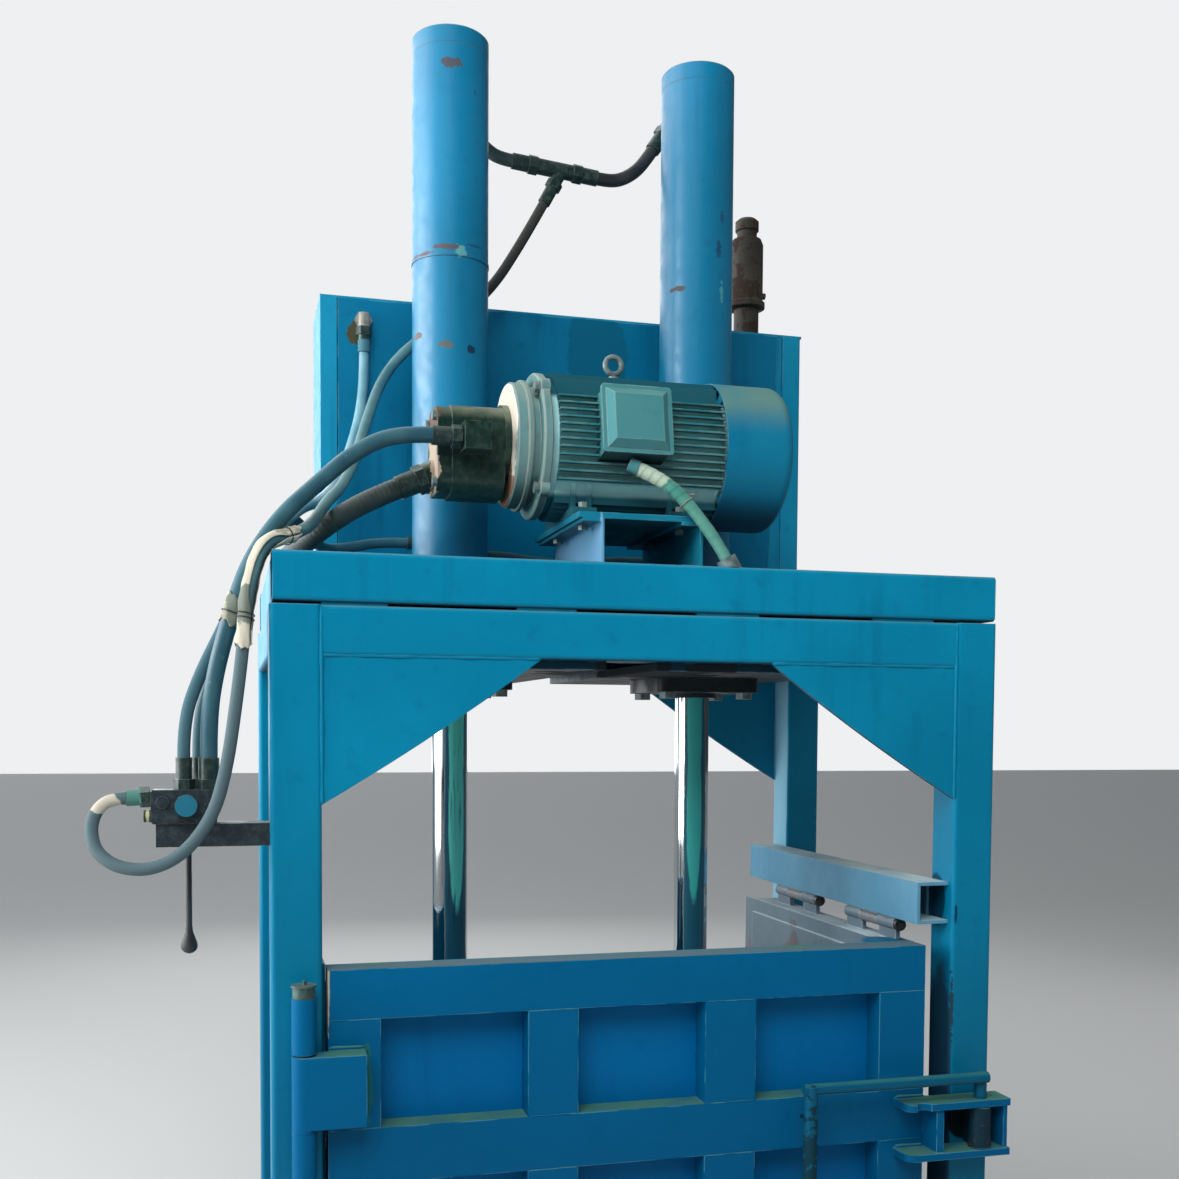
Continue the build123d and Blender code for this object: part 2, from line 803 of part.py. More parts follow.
tank = tank - bar(36, breather_x, front + breather_y, tank_top - 10, 30)
save("tank_body", tank)

with BuildSketch(Plane.XZ) as plate_outline:
    with BuildLine():
        Polyline(
            (-tank_half_width + 43, deck_top),
            (tank_half_width - 94, deck_top),
            (tank_half_width - 68, tank_top - 2),
            (-tank_half_width + 43, tank_top - 2),
            close=True,
        )
    make_face()
front_plate = extrude(plate_outline.sketch, front_plate_thickness)
save("tank_front_plate", Pos(0, tank_y0, 0) * front_plate)

with BuildPart() as breather_part:
    with BuildSketch(Plane.XZ) as breather_profile:
        with BuildLine():
            Polyline(
                (0, tank_top - 4), (35, tank_top - 4), (35, tank_top + 105), (52, tank_top + 110),
                (52, tank_top + 124), (46, tank_top + 128), (46, tank_top + 285),
                (40, tank_top + 300), (28, tank_top + 304), (28, tank_top + 322),
                (33, tank_top + 326), (33, tank_top + 350), (24, tank_top + 358), (0, tank_top + 358),
                close=True,
            )
        make_face()
    revolve(axis=Axis.Z)
breather = Pos(breather_x, front + breather_y, 0) * breather_part.part
breather += hexagon_nut(16, breather_x + 44, front + breather_y, tank_top + 150, 12, "X")
save("breather", breather)

# Motor stand: plate on two channels.
stand_top = foot_bottom
stand_plate_bottom = foot_bottom - stand_plate_thickness
stand_y0 = front + stand_front
stand_y1 = front + stand_rear
stand = [block(stand_left, stand_right, stand_y0, stand_y1, stand_plate_bottom, stand_top)]
channel_edges = (stand_left + 56, stand_right + 2)
for web_right in channel_edges:
    channel = block(
        web_right - channel_width, web_right, stand_y0, stand_y1, deck_top, stand_plate_bottom
    )
    channel -= block(
        web_right - channel_width - 1,
        web_right - channel_wall,
        stand_y0 - 1,
        stand_y1 + 1,
        deck_top + channel_wall,
        stand_plate_bottom - channel_wall,
    )
    stand.append(channel)
save("motor_stand", *stand)

# Motor housing: core with parallel cooling fins, feet, a pad for the terminal box.
motor_axis_y = front + motor_y
fin_sketch = Circle(motor_core)
first = -(fin_rows - 1) / 2 * fin_pitch
for i in range(fin_rows):
    offset = first + i * fin_pitch
    reach = 2 * math.sqrt(motor_fin ** 2 - offset ** 2)
    fin_sketch += Pos(0, offset) * Rectangle(reach, fin_thickness)
    fin_sketch += Pos(offset, 0) * Rectangle(fin_thickness, reach)
housing = extrude(fin_sketch, motor_right - motor_left - 26)
housing = Pos(motor_left + 16, motor_axis_y, motor_z) * Rot(0, 90, 0) * housing
housing += bar(motor_core + 14, motor_left, motor_axis_y, motor_z, 17, "X")
housing += bar(motor_core + 14, motor_right - 11, motor_axis_y, motor_z, 11, "X")
foot_bolts_x = [web_right - foot_bolt_inset for web_right in channel_edges]
for x in foot_bolts_x:
    foot = block(
        x - foot_half, x + foot_half, motor_axis_y - 127, motor_axis_y + 127, foot_bottom,
        foot_bottom + 18,
    )
    for x0 in (x - foot_half + 3, x + foot_half - 15):
        foot += block(
            x0, x0 + 12, motor_axis_y - 96, motor_axis_y + 96, foot_bottom + 17, motor_z - 90
        )
    housing += foot
box_turn = Pos(0, motor_axis_y, motor_z) * Rot(-box_tilt, 0, 0)
box_x = (motor_left + motor_right) / 2 - box_shift
seat = block(
    box_x - box_width / 2 + 6, box_x + box_width / 2 - 6, -box_outer, -box_inner,
    -box_height / 2 + 6, box_height / 2 - 6,
)
housing -= box_turn * seat
shaft_hole = shaft_diameter / 2 + 0.05
eye_seat = bar(11, box_x, motor_axis_y, motor_z + motor_fin - 32, 60)
housing += bar(17, box_x, motor_axis_y, motor_z + 100, motor_fin - 102)
housing -= eye_seat
housing -= bar(shaft_hole, motor_left - 60, motor_axis_y, motor_z, 600, "X")
save("motor_housing", housing)

disc_right = drive_flange_left + drive_disc_length
flange_left = disc_right + drive_neck_length
drive_end = bar(
    drive_disc, drive_flange_left, motor_axis_y, motor_z, drive_disc_length, "X"
)
drive_end = chamfer(drive_end.edges().group_by(Axis.X)[0], 5)
drive_end += ring(
    drive_disc + 6, drive_disc - 10, disc_right - 12, motor_axis_y, motor_z, 8, "X"
)
drive_end += bar(drive_disc - 8, disc_right, motor_axis_y, motor_z, drive_neck_length, "X")
flange = bar(
    drive_flange + 8, flange_left, motor_axis_y, motor_z, motor_left - flange_left, "X"
)
drive_end += chamfer(flange.edges(), 3)
for i in range(4):
    angle = math.radians(45 + 90 * i)
    y = motor_axis_y + drive_flange * math.cos(angle)
    z = motor_z + drive_flange * math.sin(angle)
    drive_end += bar(19, flange_left, y, z, motor_left - flange_left, "X")
drive_end -= bar(shaft_hole, drive_flange_left - 60, motor_axis_y, motor_z, 600, "X")
save("drive_end_flange", drive_end)

# Fan cover: drawn shell over the housing's end, with slots in its end wall.
cover_left = motor_right - 10
cover_length = fan_cover_right - cover_left
cover = bar(fan_cover_radius, cover_left, motor_axis_y, motor_z, cover_length, "X")
cover = fillet(cover.edges().group_by(Axis.X)[-1], 26)
inside = bar(
    fan_cover_radius - fan_cover_wall, cover_left - 1, motor_axis_y, motor_z,
    cover_length - fan_cover_wall + 1, "X",
)
inside = fillet(inside.edges().group_by(Axis.X)[-1], 23)
cover = cover - inside
for i in range(-5, 6):
    z = motor_z + i * 20
    reach = math.sqrt(max(118 ** 2 - (i * 20) ** 2, 0))
    cover -= block(
        fan_cover_right - 8, fan_cover_right + 2, motor_axis_y - reach, motor_axis_y + reach,
        z - 5, z + 5,
    )
hub_bar = block(
    fan_cover_right - fan_cover_wall, fan_cover_right, motor_axis_y - 7, motor_axis_y + 7,
    motor_z - 118, motor_z + 118,
)
cover += hub_bar
for i in range(4):
    angle = math.radians(45 + 90 * i)
    y = motor_axis_y + (motor_core + 26) * math.cos(angle)
    z = motor_z + (motor_core + 26) * math.sin(angle)
    lug = bar(12, motor_right - 9, y, z, 8, "X")
    cover += lug
cover -= ring(400, fan_cover_radius, cover_left - 5, motor_axis_y, motor_z, 400, "X")
save("fan_cover", cover)

shaft = bar(shaft_diameter / 2, drive_flange_left - 20, motor_axis_y, motor_z,
            motor_right + 84 - drive_flange_left + 20, "X")
save("motor_shaft", shaft)

fan_start = motor_right + 26
fan = ring(38, shaft_diameter / 2, fan_start, motor_axis_y, motor_z, 52, "X")
fan += ring(130, shaft_diameter / 2, fan_start, motor_axis_y, motor_z, 5, "X")
blade = block(fan_start + 4, fan_start + 50, -3, 3, 30, 130)
for i in range(fan_blades):
    fan += Pos(0, motor_axis_y, motor_z) * Rot(360 / fan_blades * i, 0, 0) * blade
save("cooling_fan", fan)

# Terminal box: body and bevelled lid, tilted on the front of the housing.
body = box_turn * seat
lid_back = block(box_x - box_width / 2, box_x + box_width / 2, -box_outer - 8, -box_outer,
                 -box_height / 2, box_height / 2)
lid_front = block(box_x - box_width / 2 + 10, box_x + box_width / 2 - 10,
                  -box_outer - 8 - lid_height, -box_outer - 8, -box_height / 2 + 10,
                  box_height / 2 - 10)
lid_front = chamfer(lid_front.edges().group_by(Axis.Y)[0], lid_height - 1)
lid = fillet(lid_back.edges().filter_by(Axis.Y), 8) + lid_front
eye_x = box_x
eye_z = motor_z + motor_fin
eye = bar(11, eye_x, motor_axis_y, eye_z - 32, 40)
eye += Pos(eye_x, motor_axis_y, eye_z + 33) * Rot(90, 0, 0) * Torus(19, 6)

# Gear pump: rounded body between an adaptor and an end cover, with port blocks.
pump_height = pump_top - pump_bottom
pump_z = (pump_top + pump_bottom) / 2
adaptor = bar(86, -300, motor_axis_y, motor_z, drive_flange_left + 300, "X")
pump_section = RectangleRounded(pump_height, pump_width, 46)
pump_body = extrude(pump_section, -300 - pump_left)
pump_body = Pos(pump_left, motor_axis_y, pump_z) * Rot(0, 90, 0) * pump_body
pump_body += adaptor
pump_body -= bar(shaft_hole, -330, motor_axis_y, motor_z, 100, "X")
port_y = motor_axis_y - pump_width / 2
pump_body += block(-397, -340, port_y - 58, port_y + 6, pump_top - 110, pump_top - 52)
cover_section = RectangleRounded(pump_height - 8, pump_width - 8, 42)
pump_cover = extrude(cover_section, pump_left - pump_cover_left)
pump_cover = Pos(pump_cover_left, motor_axis_y, pump_z) * Rot(0, 90, 0) * pump_cover

# Hand valve on its bracket: spool moved by a hanging lever behind the block.
bracket_y0 = front + bracket_front
bracket_y1 = front + bracket_rear
bracket = block(bracket_left, -half_width, bracket_y0, bracket_y1, bracket_bottom, valve_bottom)
bracket -= block(
    bracket_left - 1, -half_width - 8, bracket_y0 + 6, bracket_y1 + 1, bracket_bottom + 6,
    valve_bottom - 6,
)
save("valve_bracket", bracket)

valve_top = valve_bottom + valve_height
valve_y0 = front + valve_front
valve_y1 = front + valve_rear
valve = block(valve_left, valve_right, valve_y0, valve_y1, valve_bottom, valve_top)
valve = chamfer(valve.edges().filter_by(Axis.Y), 4)
spool_hole = spool_diameter / 2 + spool_fit
valve += bar(21, spool_x, valve_y0 - 22, spool_z, 22, "Y")
valve += bar(12, valve_left + 22, valve_y0 - 5, spool_z + 6, 6, "Y")
valve += bar(12, valve_left - 14, valve_y0 + 30, valve_bottom + 14, 15, "X")
pivot_z = spool_z - lever_pivot_drop
pivot_y = valve_y1 + 20
for x0 in (spool_x - 17, spool_x + 11):
    valve += block(x0, x0 + 6, valve_y1 - 1, pivot_y + 9, pivot_z - 9, pivot_z + 9)
valve -= bar(spool_hole, spool_x, valve_y0 + 4, spool_z, 200, "Y")
valve -= bar(4.05, spool_x - 30, pivot_y, pivot_z, 60, "X")

spool = bar(spool_diameter / 2, spool_x, valve_y0 + 14, spool_z, pivot_y - valve_y0 - 30, "Y")
spool += block(spool_x - 3, spool_x + 3, pivot_y - 17, pivot_y + 8, spool_z - 7, spool_z + 7)
spool += bar(3, spool_x - 9.5, pivot_y, spool_z, 19, "X")
save("valve_spool", spool)

# Lever: fork with a slot for the spool's pin, a pivot pin, a rod and a teardrop knob.
lever = None
for x0 in (spool_x - 10, spool_x + 4):
    cheek = block(x0, x0 + 6, pivot_y - 9, pivot_y + 9, pivot_z - 14, spool_z + 10)
    cheek -= block(x0 - 1, x0 + 7, pivot_y - 3.4, pivot_y + 3.4, spool_z - 4.5, spool_z + 4.5)
    lever = cheek if lever is None else lever + cheek
lever += block(spool_x - 10, spool_x + 10, pivot_y - 9, pivot_y + 9, pivot_z - 26, pivot_z - 12)
lever += bar(4, spool_x - 17, pivot_y, pivot_z, 34, "X")
rod_z = pivot_z - 25 - lever_length
lever += bar(lever_diameter / 2, spool_x, pivot_y, rod_z, lever_length)
with BuildPart() as knob_part:
    with BuildSketch(Plane.XZ) as knob_profile:
        with BuildLine():
            start = (0, rod_z + 12)
            shoulder = (7, rod_z + 12)
            Line(start, shoulder)
            Spline(shoulder, (14, rod_z - 14), (16.5, rod_z - 26), (0, rod_z - 42))
            Line((0, rod_z - 42), start)
        make_face()
    revolve(axis=Axis.Z)
lever += Pos(spool_x, pivot_y, 0) * knob_part.part
save("valve_lever", lever)

def path(points):
    """Route of straight runs joined by arcs as large as their runs allow."""
    vectors = [Vector(*p) for p in points]
    radii = []
    for before, here, after in zip(vectors, vectors[1:], vectors[2:]):
        run_in = here - before
        run_out = after - here
        turn = math.radians(run_in.get_angle(run_out))
        shorter = min(run_in.length, run_out.length)
        radii.append(0.45 * shorter / math.tan(turn / 2))
    return FilletPolyline(*points, radius=radii), radii


def hose(name, points, diameter):
    """Plain round tube along a route; prints its radii and its volume check."""
    route, radii = path(points)
    section = Plane(origin=route @ 0, z_dir=route % 0) * Circle(diameter / 2)
    solid = sweep(section, path=route)
    expected = math.pi * diameter ** 2 / 4 * route.length
    print(name, [round(r) for r in radii], round(solid.volume / expected, 4))
    save(name, solid)
    return points


def outward_end(points, at_start):
    """End point of a route and the unit vector that points out of the hose there."""
    end, inner = (points[0], points[1]) if at_start else (points[-1], points[-2])
    end, inner = Vector(*end), Vector(*inner)
    return end, (end - inner).normalized()


def end_fitting(points, at_start, diameter, ferrule=ferrule_length, nut=nut_length):
    """Crimped ferrule and hexagon nut in line with one end of a hose."""
    end, outward = outward_end(points, at_start)
    align = (Align.CENTER, Align.CENTER, Align.MIN)
    piece = Location(Plane(origin=end, z_dir=outward)) * Cylinder(
        diameter / 2 + 3, ferrule, align=align
    )
    profile = RegularPolygon(diameter / 2 + 5, 6, major_radius=False)
    far = Location(Plane(origin=end + outward * ferrule, z_dir=outward))
    return piece + far * extrude(profile, nut)


def stub(points, at_start, radius, length, ferrule=ferrule_length, nut=nut_length):
    """Short spigot that carries on from a fitting into the port it screws into."""
    end, outward = outward_end(points, at_start)
    start = Plane(origin=end + outward * (ferrule + nut), z_dir=outward)
    align = (Align.CENTER, Align.CENTER, Align.MIN)
    return Location(start) * Cylinder(radius, length, align=align)


# Routes of the hoses, chosen along their real runs.
pressure_route = (
    (-462, -373, 2167), (-535, -373, 2167), (-622, -381, 2123), (-703, -398, 2046),
    (-773, -424, 1978), (-837, -446, 1880), (-873, -460, 1768), (-902, -468, 1660),
    (-915, -470, 1570), (-915, -470, 1493),
)
return_route = (
    (-544, 222, 2490), (-544, 222, 2380), (-580, 180, 2240), (-630, 70, 2125),
    (-676, -90, 2062), (-716, -230, 2030), (-750, -330, 1992), (-782, -388, 1950),
    (-836, -402, 1868), (-882, -412, 1760), (-935, -436, 1650), (-962, -470, 1562),
    (-962, -470, 1493),
)
branch_route = (
    (-106, 125, 2868), (-164, 126, 2762), (-246, 128, 2634), (-348, 124, 2552),
    (-447, 108, 2482), (-514, 66, 2395), (-555, 0, 2290), (-592, -70, 2168),
    (-632, -160, 2084), (-672, -266, 2036), (-708, -366, 1970), (-752, -440, 1937),
    (-810, -480, 1918), (-840, -498, 1818), (-850, -512, 1700), (-864, -530, 1590),
    (-880, -540, 1480), (-905, -543, 1385), (-958, -541, 1312), (-1020, -535, 1280),
    (-1082, -520, 1284), (-1122, -498, 1312), (-1135, -478, 1346), (-1131, -466, 1376),
    (-1117, -459, 1400), (-1095, -456, 1412), (-1070.5, -456, 1413.5),
)
lower_route = (
    (-448.5, 130, 2008), (-516, 130, 2008), (-590, 106, 1988), (-652, 42, 1972),
    (-692, -60, 1980), (-722, -165, 2000), (-745, -250, 1999), (-778, -325, 1960), (-818, -354, 1900), (-852, -370, 1815),
    (-885, -386, 1715), (-922, -408, 1620), (-935, -425, 1550), (-935, -425, 1493),
)
suction_route = (
    (-520, -275, 2070), (-592, -276, 2038), (-664, -260, 1992), (-716, -206, 1953),
    (-748, -118, 1932), (-756, 0, 1928), (-750, 115, 1932), (-734, 225, 1944),
    (-724, 310, 1956),
)
left_arm_route = (
    (-187.6, 125, 2963), (-221.5, 125, 2966), (-250, 125.5, 2982), (-272, 127, 3004),
    (-290, 128, 3030),
)
right_arm_route = (
    (31.6, 125, 2943.9), (64, 125, 2941), (98, 125.5, 2949), (132, 126.5, 2971),
    (158, 127.5, 3000), (180, 129, 3033),
)
cross_route = (
    (-276.5, 130, 1985), (-200, 130, 1985), (-122, 132, 1975), (-53, 133, 1971),
    (15, 132, 1975), (93, 130, 1985), (169.5, 130, 1985),
)
cable_route = (
    (-30, -446, 2108), (14, -458, 2088), (60, -472, 2050), (104, -484, 1994), (140, -488, 1945),
    (154, -489, 1920),
)
hose("pressure_hose", pressure_route, pressure_hose)
hose("return_hose", return_route, return_hose)
hose("branch_hose", branch_route, return_hose)
hose("lower_hose", lower_route, return_hose)
hose("suction_hose", suction_route, suction_hose)
hose("left_arm_hose", left_arm_route, arm_hose)
hose("right_arm_hose", right_arm_route, arm_hose)
hose("cross_hose", cross_route, return_hose)
hose("motor_cable", cable_route, cable_cover)

# Woven sleeve over the branch hose where it rounds the deck's edge.
route, radii = path(branch_route)
sleeve_first = 12
sleeve_last = 14
vectors = [Vector(*p) for p in branch_route]
sleeve_start = (vectors[sleeve_first - 1] + vectors[sleeve_first]) * 0.5
sleeve_end = (vectors[sleeve_last] + vectors[sleeve_last + 1]) * 0.5
sleeve_corners = vectors[sleeve_first:sleeve_last + 1]
sleeve_path = FilletPolyline(
    sleeve_start, *sleeve_corners, sleeve_end, radius=radii[sleeve_first - 1:sleeve_last]
)
sleeve_inner = return_hose / 2 + body_gap
sleeve_section = Circle(sleeve_inner + sleeve_wall) - Circle(sleeve_inner)
sleeve_plane = Plane(origin=sleeve_path @ 0, z_dir=sleeve_path % 0)
save("hose_sleeve", sweep(sleeve_plane * sleeve_section, path=sleeve_path))

# Tee behind the cylinders, where both cap-end lines and the branch meet.
tee_place = Pos(-84, 125, 2954) * Rot(0, 5, 0)
tee = bar(19, -62, 0, 0, 136, "X")
tee += hexagon_nut(42, -62, 0, 0, 22, "X")
tee += hexagon_nut(42, 52, 0, 0, 22, "X")
tee = tee_place * tee + stub(branch_route, True, 15, 26)
save("tee_fitting", tee)

valve_fitting = 25.0
fittings = [
    end_fitting(pressure_route, True, pressure_hose),
    end_fitting(pressure_route, False, pressure_hose),
    end_fitting(return_route, True, return_hose),
    end_fitting(return_route, False, return_hose),
    end_fitting(branch_route, True, return_hose),
    end_fitting(branch_route, False, return_hose, valve_fitting),
    end_fitting(lower_route, True, return_hose),
    end_fitting(lower_route, False, return_hose),
    end_fitting(suction_route, True, suction_hose),
    end_fitting(suction_route, False, suction_hose),
    end_fitting(left_arm_route, True, arm_hose, ferrule_length - 0.6, 0.5),
    end_fitting(left_arm_route, False, arm_hose),
    end_fitting(right_arm_route, True, arm_hose, ferrule_length - 0.6, 0.5),
    end_fitting(right_arm_route, False, arm_hose),
    end_fitting(cross_route, True, return_hose),
    end_fitting(cross_route, False, return_hose),
]
save("hose_fittings", *fittings)

# Port blocks on the cylinders, with the spigots that the fittings screw onto.
valve += stub(branch_route, False, 11, 12, valve_fitting)
save("hand_valve", valve)
ports = []
for x, side, route in (
    (left_cylinder_x, 1, left_arm_route),
    (right_cylinder_x, -1, right_arm_route),
):
    centre = x + side * port_offset
    upper = block(
        centre - port_block / 2, centre + port_block / 2, 60, port_reach,
        port_height - 20, port_height + 20,
    )
    upper += stub(route, False, 13, 24)
    upper -= end_fitting(route, False, arm_hose)
    ports.append(upper - bar(cylinder_outer / 2, x, 0, port_height - 60, 120))
    lower = block(
        x - port_block / 2, x + port_block / 2, 60, port_reach,
        lower_port_height - 22, lower_port_top,
    )
    ports.append(lower - bar(cylinder_outer / 2, x, 0, lower_port_height - 60, 120))
save("port_blocks", *ports)

# Tank elbows: oil return high on the front plate, suction low on the left end.
return_elbow = stub(return_route, True, 15, 34)
return_end, return_out = outward_end(return_route, True)
elbow_z = return_end.Z + ferrule_length + nut_length + 22
elbow_y1 = tank_y0 - front_plate_thickness
return_elbow += bar(17, return_end.X, return_end.Y, elbow_z, elbow_y1 - return_end.Y, "Y")
return_elbow += hexagon_nut(40, return_end.X, elbow_y1 - 12, elbow_z, 12, "Y")
suction_elbow = stub(suction_route, False, 26, 30)
suction_end, suction_out = outward_end(suction_route, False)
suction_point = suction_end + suction_out * (ferrule_length + nut_length + 34)
elbow_x0 = suction_point.X - 28
suction_elbow += bar(
    29, elbow_x0, suction_point.Y, suction_point.Z, -tank_half_width - elbow_x0, "X"
)
suction_elbow += bar(44, -tank_half_width - 12, suction_point.Y, suction_point.Z, 12, "X")
save("tank_elbows", return_elbow, suction_elbow)

pump_body += stub(pressure_route, True, 12, 24)
save("gear_pump", pump_body, pump_cover + stub(suction_route, True, 30, 32))

cable_stub = stub(cable_route, True, 17, 22, 0, 0)
save("terminal_box", body + cable_stub - housing - box_turn * lid, box_turn * lid)

# Bolts, nuts and other small hardware that stands on the parts it holds.
hardware = [eye]
for x in cylinder_axes:
    for dx in (-100, 100):
        for dy in (-100, 100):
            hardware.append(hexagon_nut(36, x + dx, dy, cylinder_bottom - 16, 16))
for x in foot_bolts_x:
    for dy in (-112, 112):
        y = motor_axis_y + dy
        hardware.append(hexagon_nut(19, x, y, foot_bottom + 18, 12))
        hardware.append(hexagon_nut(19, x, y, stand_plate_bottom - channel_wall - 10, 10))
for i in range(4):
    angle = math.radians(45 + 90 * i)
    y = motor_axis_y + drive_flange * math.cos(angle)
    z = motor_z + drive_flange * math.sin(angle)
    hardware.append(hexagon_nut(22, flange_left - 12, y, z, 12, "X"))
for dy in (-50, 50):
    for dz in (-70, 70):
        y = motor_axis_y + dy
        hardware.append(hexagon_nut(19, pump_cover_left - 9, y, pump_z + dz, 9, "X"))
above_deck = block(0, 400, front, 0, deck_top, deck_top + 100)
hardware.append(stub(cable_route, False, 22, 60, 0, 0) & above_deck)
save("fasteners", *hardware)
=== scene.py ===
# %% [markdown]
# Upright hydraulic press for metal chips. The real machine is a frame of square steel tube,
# painted blue long ago, with two tall cylinders, a ribbed gate and a power pack on its deck.
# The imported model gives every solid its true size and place. This notebook gives each one
# its finish, and adds the small shapes that a welder, a fitter and the years left on it.

import json

import bpy
import numpy as np
from mathutils import Matrix, Vector


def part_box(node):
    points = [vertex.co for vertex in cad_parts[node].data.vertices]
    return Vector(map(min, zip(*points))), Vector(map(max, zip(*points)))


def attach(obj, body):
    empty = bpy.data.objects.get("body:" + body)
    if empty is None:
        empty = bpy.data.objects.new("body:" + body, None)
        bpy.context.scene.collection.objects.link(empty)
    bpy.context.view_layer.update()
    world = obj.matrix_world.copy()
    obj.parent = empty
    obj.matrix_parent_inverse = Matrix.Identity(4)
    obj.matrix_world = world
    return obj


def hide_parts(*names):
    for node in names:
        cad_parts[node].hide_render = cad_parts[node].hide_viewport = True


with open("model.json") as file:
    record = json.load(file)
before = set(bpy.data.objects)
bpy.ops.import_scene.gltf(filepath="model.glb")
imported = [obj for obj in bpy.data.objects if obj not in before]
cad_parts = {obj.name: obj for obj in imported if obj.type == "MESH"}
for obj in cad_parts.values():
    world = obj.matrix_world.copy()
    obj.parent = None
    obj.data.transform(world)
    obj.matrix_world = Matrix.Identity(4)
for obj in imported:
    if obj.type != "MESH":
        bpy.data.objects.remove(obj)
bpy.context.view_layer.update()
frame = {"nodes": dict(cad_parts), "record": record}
nodes = frame["nodes"]
print("solids loaded:", len(nodes))

# %% [markdown]
# The camera stands where the photographer stood: left of the gate at about eye height,
# looking a little to the right. The picture was cropped low on the lens axis, so the lens
# is shifted rather than tilted, which keeps the posts upright.

# %% Camera
picture_size = 1179
focal_pixels = 1323.6
axis_row = 786.0
look = Vector((0.26290, 0.96374, -0.04561))
roll = 0.00588
lens = bpy.data.cameras.new("camera")
lens.sensor_width = 36.0
lens.lens = 36.0 * focal_pixels / picture_size
lens.shift_y = (axis_row - picture_size / 2) / picture_size
camera = bpy.data.objects.new("camera", lens)
bpy.context.scene.collection.objects.link(camera)
turn = look.to_track_quat("-Z", "Y").to_matrix() @ Matrix.Rotation(roll, 3, "Z")
camera.matrix_world = Matrix.Translation((-0.8775, -3.1713, 1.560)) @ turn.to_4x4()
bpy.context.scene.camera = camera
print("lens", round(lens.lens, 2), "mm, shift", round(lens.shift_y, 4))

# %% [markdown]
# Hoses are lines before they are tubes. Each route is a handful of points that a smooth
# spline is pulled towards, the same points that the solids were swept along. A spline of
# this kind never kinks, as a hose with a steel braid in its wall doesn't.

# %% Routes of the hoses, in metres
routes = {
    "pressure_hose": (
        (-0.462, -0.373, 2.167), (-0.535, -0.373, 2.167), (-0.622, -0.381, 2.123),
        (-0.703, -0.398, 2.046), (-0.773, -0.424, 1.978), (-0.837, -0.446, 1.880),
        (-0.873, -0.460, 1.768), (-0.902, -0.468, 1.660), (-0.915, -0.470, 1.570),
        (-0.915, -0.470, 1.493),
    ),
    "return_hose": (
        (-0.544, 0.222, 2.490), (-0.544, 0.222, 2.380), (-0.580, 0.180, 2.240),
        (-0.630, 0.070, 2.125), (-0.676, -0.090, 2.062), (-0.716, -0.230, 2.030),
        (-0.750, -0.330, 1.992), (-0.782, -0.388, 1.950), (-0.836, -0.402, 1.868),
        (-0.882, -0.412, 1.760), (-0.935, -0.436, 1.650), (-0.962, -0.470, 1.562),
        (-0.962, -0.470, 1.493),
    ),
    "branch_hose": (
        (-0.106, 0.125, 2.868), (-0.164, 0.126, 2.762), (-0.246, 0.128, 2.634),
        (-0.348, 0.124, 2.552), (-0.447, 0.108, 2.482), (-0.514, 0.066, 2.395),
        (-0.555, 0.000, 2.290), (-0.592, -0.070, 2.168), (-0.632, -0.160, 2.084),
        (-0.672, -0.266, 2.036), (-0.708, -0.366, 1.970), (-0.752, -0.440, 1.937),
        (-0.810, -0.480, 1.918), (-0.840, -0.498, 1.818), (-0.850, -0.512, 1.700),
        (-0.864, -0.530, 1.590), (-0.880, -0.540, 1.480), (-0.905, -0.543, 1.385),
        (-0.958, -0.541, 1.312), (-1.020, -0.535, 1.280), (-1.082, -0.520, 1.284),
        (-1.122, -0.498, 1.312), (-1.1335, -0.478, 1.346), (-1.131, -0.466, 1.376),
        (-1.117, -0.459, 1.400), (-1.095, -0.456, 1.412), (-1.0705, -0.456, 1.4135),
    ),
    "lower_hose": (
        (-0.4485, 0.130, 2.008), (-0.516, 0.130, 2.008), (-0.590, 0.106, 1.988),
        (-0.652, 0.042, 1.972), (-0.692, -0.060, 1.980), (-0.722, -0.165, 2.000),
        (-0.745, -0.250, 1.999), (-0.778, -0.325, 1.960), (-0.818, -0.354, 1.900),
        (-0.852, -0.370, 1.815), (-0.885, -0.386, 1.715), (-0.922, -0.408, 1.620),
        (-0.935, -0.425, 1.550), (-0.935, -0.425, 1.493),
    ),
    "suction_hose": (
        (-0.520, -0.275, 2.070), (-0.592, -0.276, 2.038), (-0.664, -0.260, 1.992),
        (-0.716, -0.206, 1.953), (-0.748, -0.118, 1.932), (-0.756, 0.000, 1.928),
        (-0.750, 0.115, 1.932), (-0.734, 0.225, 1.944), (-0.724, 0.310, 1.956),
    ),
    "left_arm_hose": (
        (-0.1876, 0.125, 2.963), (-0.2215, 0.125, 2.966), (-0.250, 0.1255, 2.982),
        (-0.272, 0.127, 3.004), (-0.290, 0.128, 3.030),
    ),
    "right_arm_hose": (
        (0.0316, 0.125, 2.9439), (0.064, 0.125, 2.941), (0.098, 0.1255, 2.949),
        (0.132, 0.1265, 2.971), (0.158, 0.1275, 3.000), (0.180, 0.129, 3.033),
    ),
    "cross_hose": (
        (-0.2765, 0.130, 1.985), (-0.200, 0.130, 1.985), (-0.122, 0.132, 1.975),
        (-0.053, 0.133, 1.971), (0.015, 0.132, 1.975), (0.093, 0.130, 1.985),
        (0.1695, 0.130, 1.985),
    ),
    "motor_cable": (
        (-0.030, -0.446, 2.108), (0.014, -0.458, 2.088), (0.060, -0.472, 2.050),
        (0.104, -0.484, 1.994), (0.140, -0.488, 1.945), (0.154, -0.489, 1.920),
    ),
}

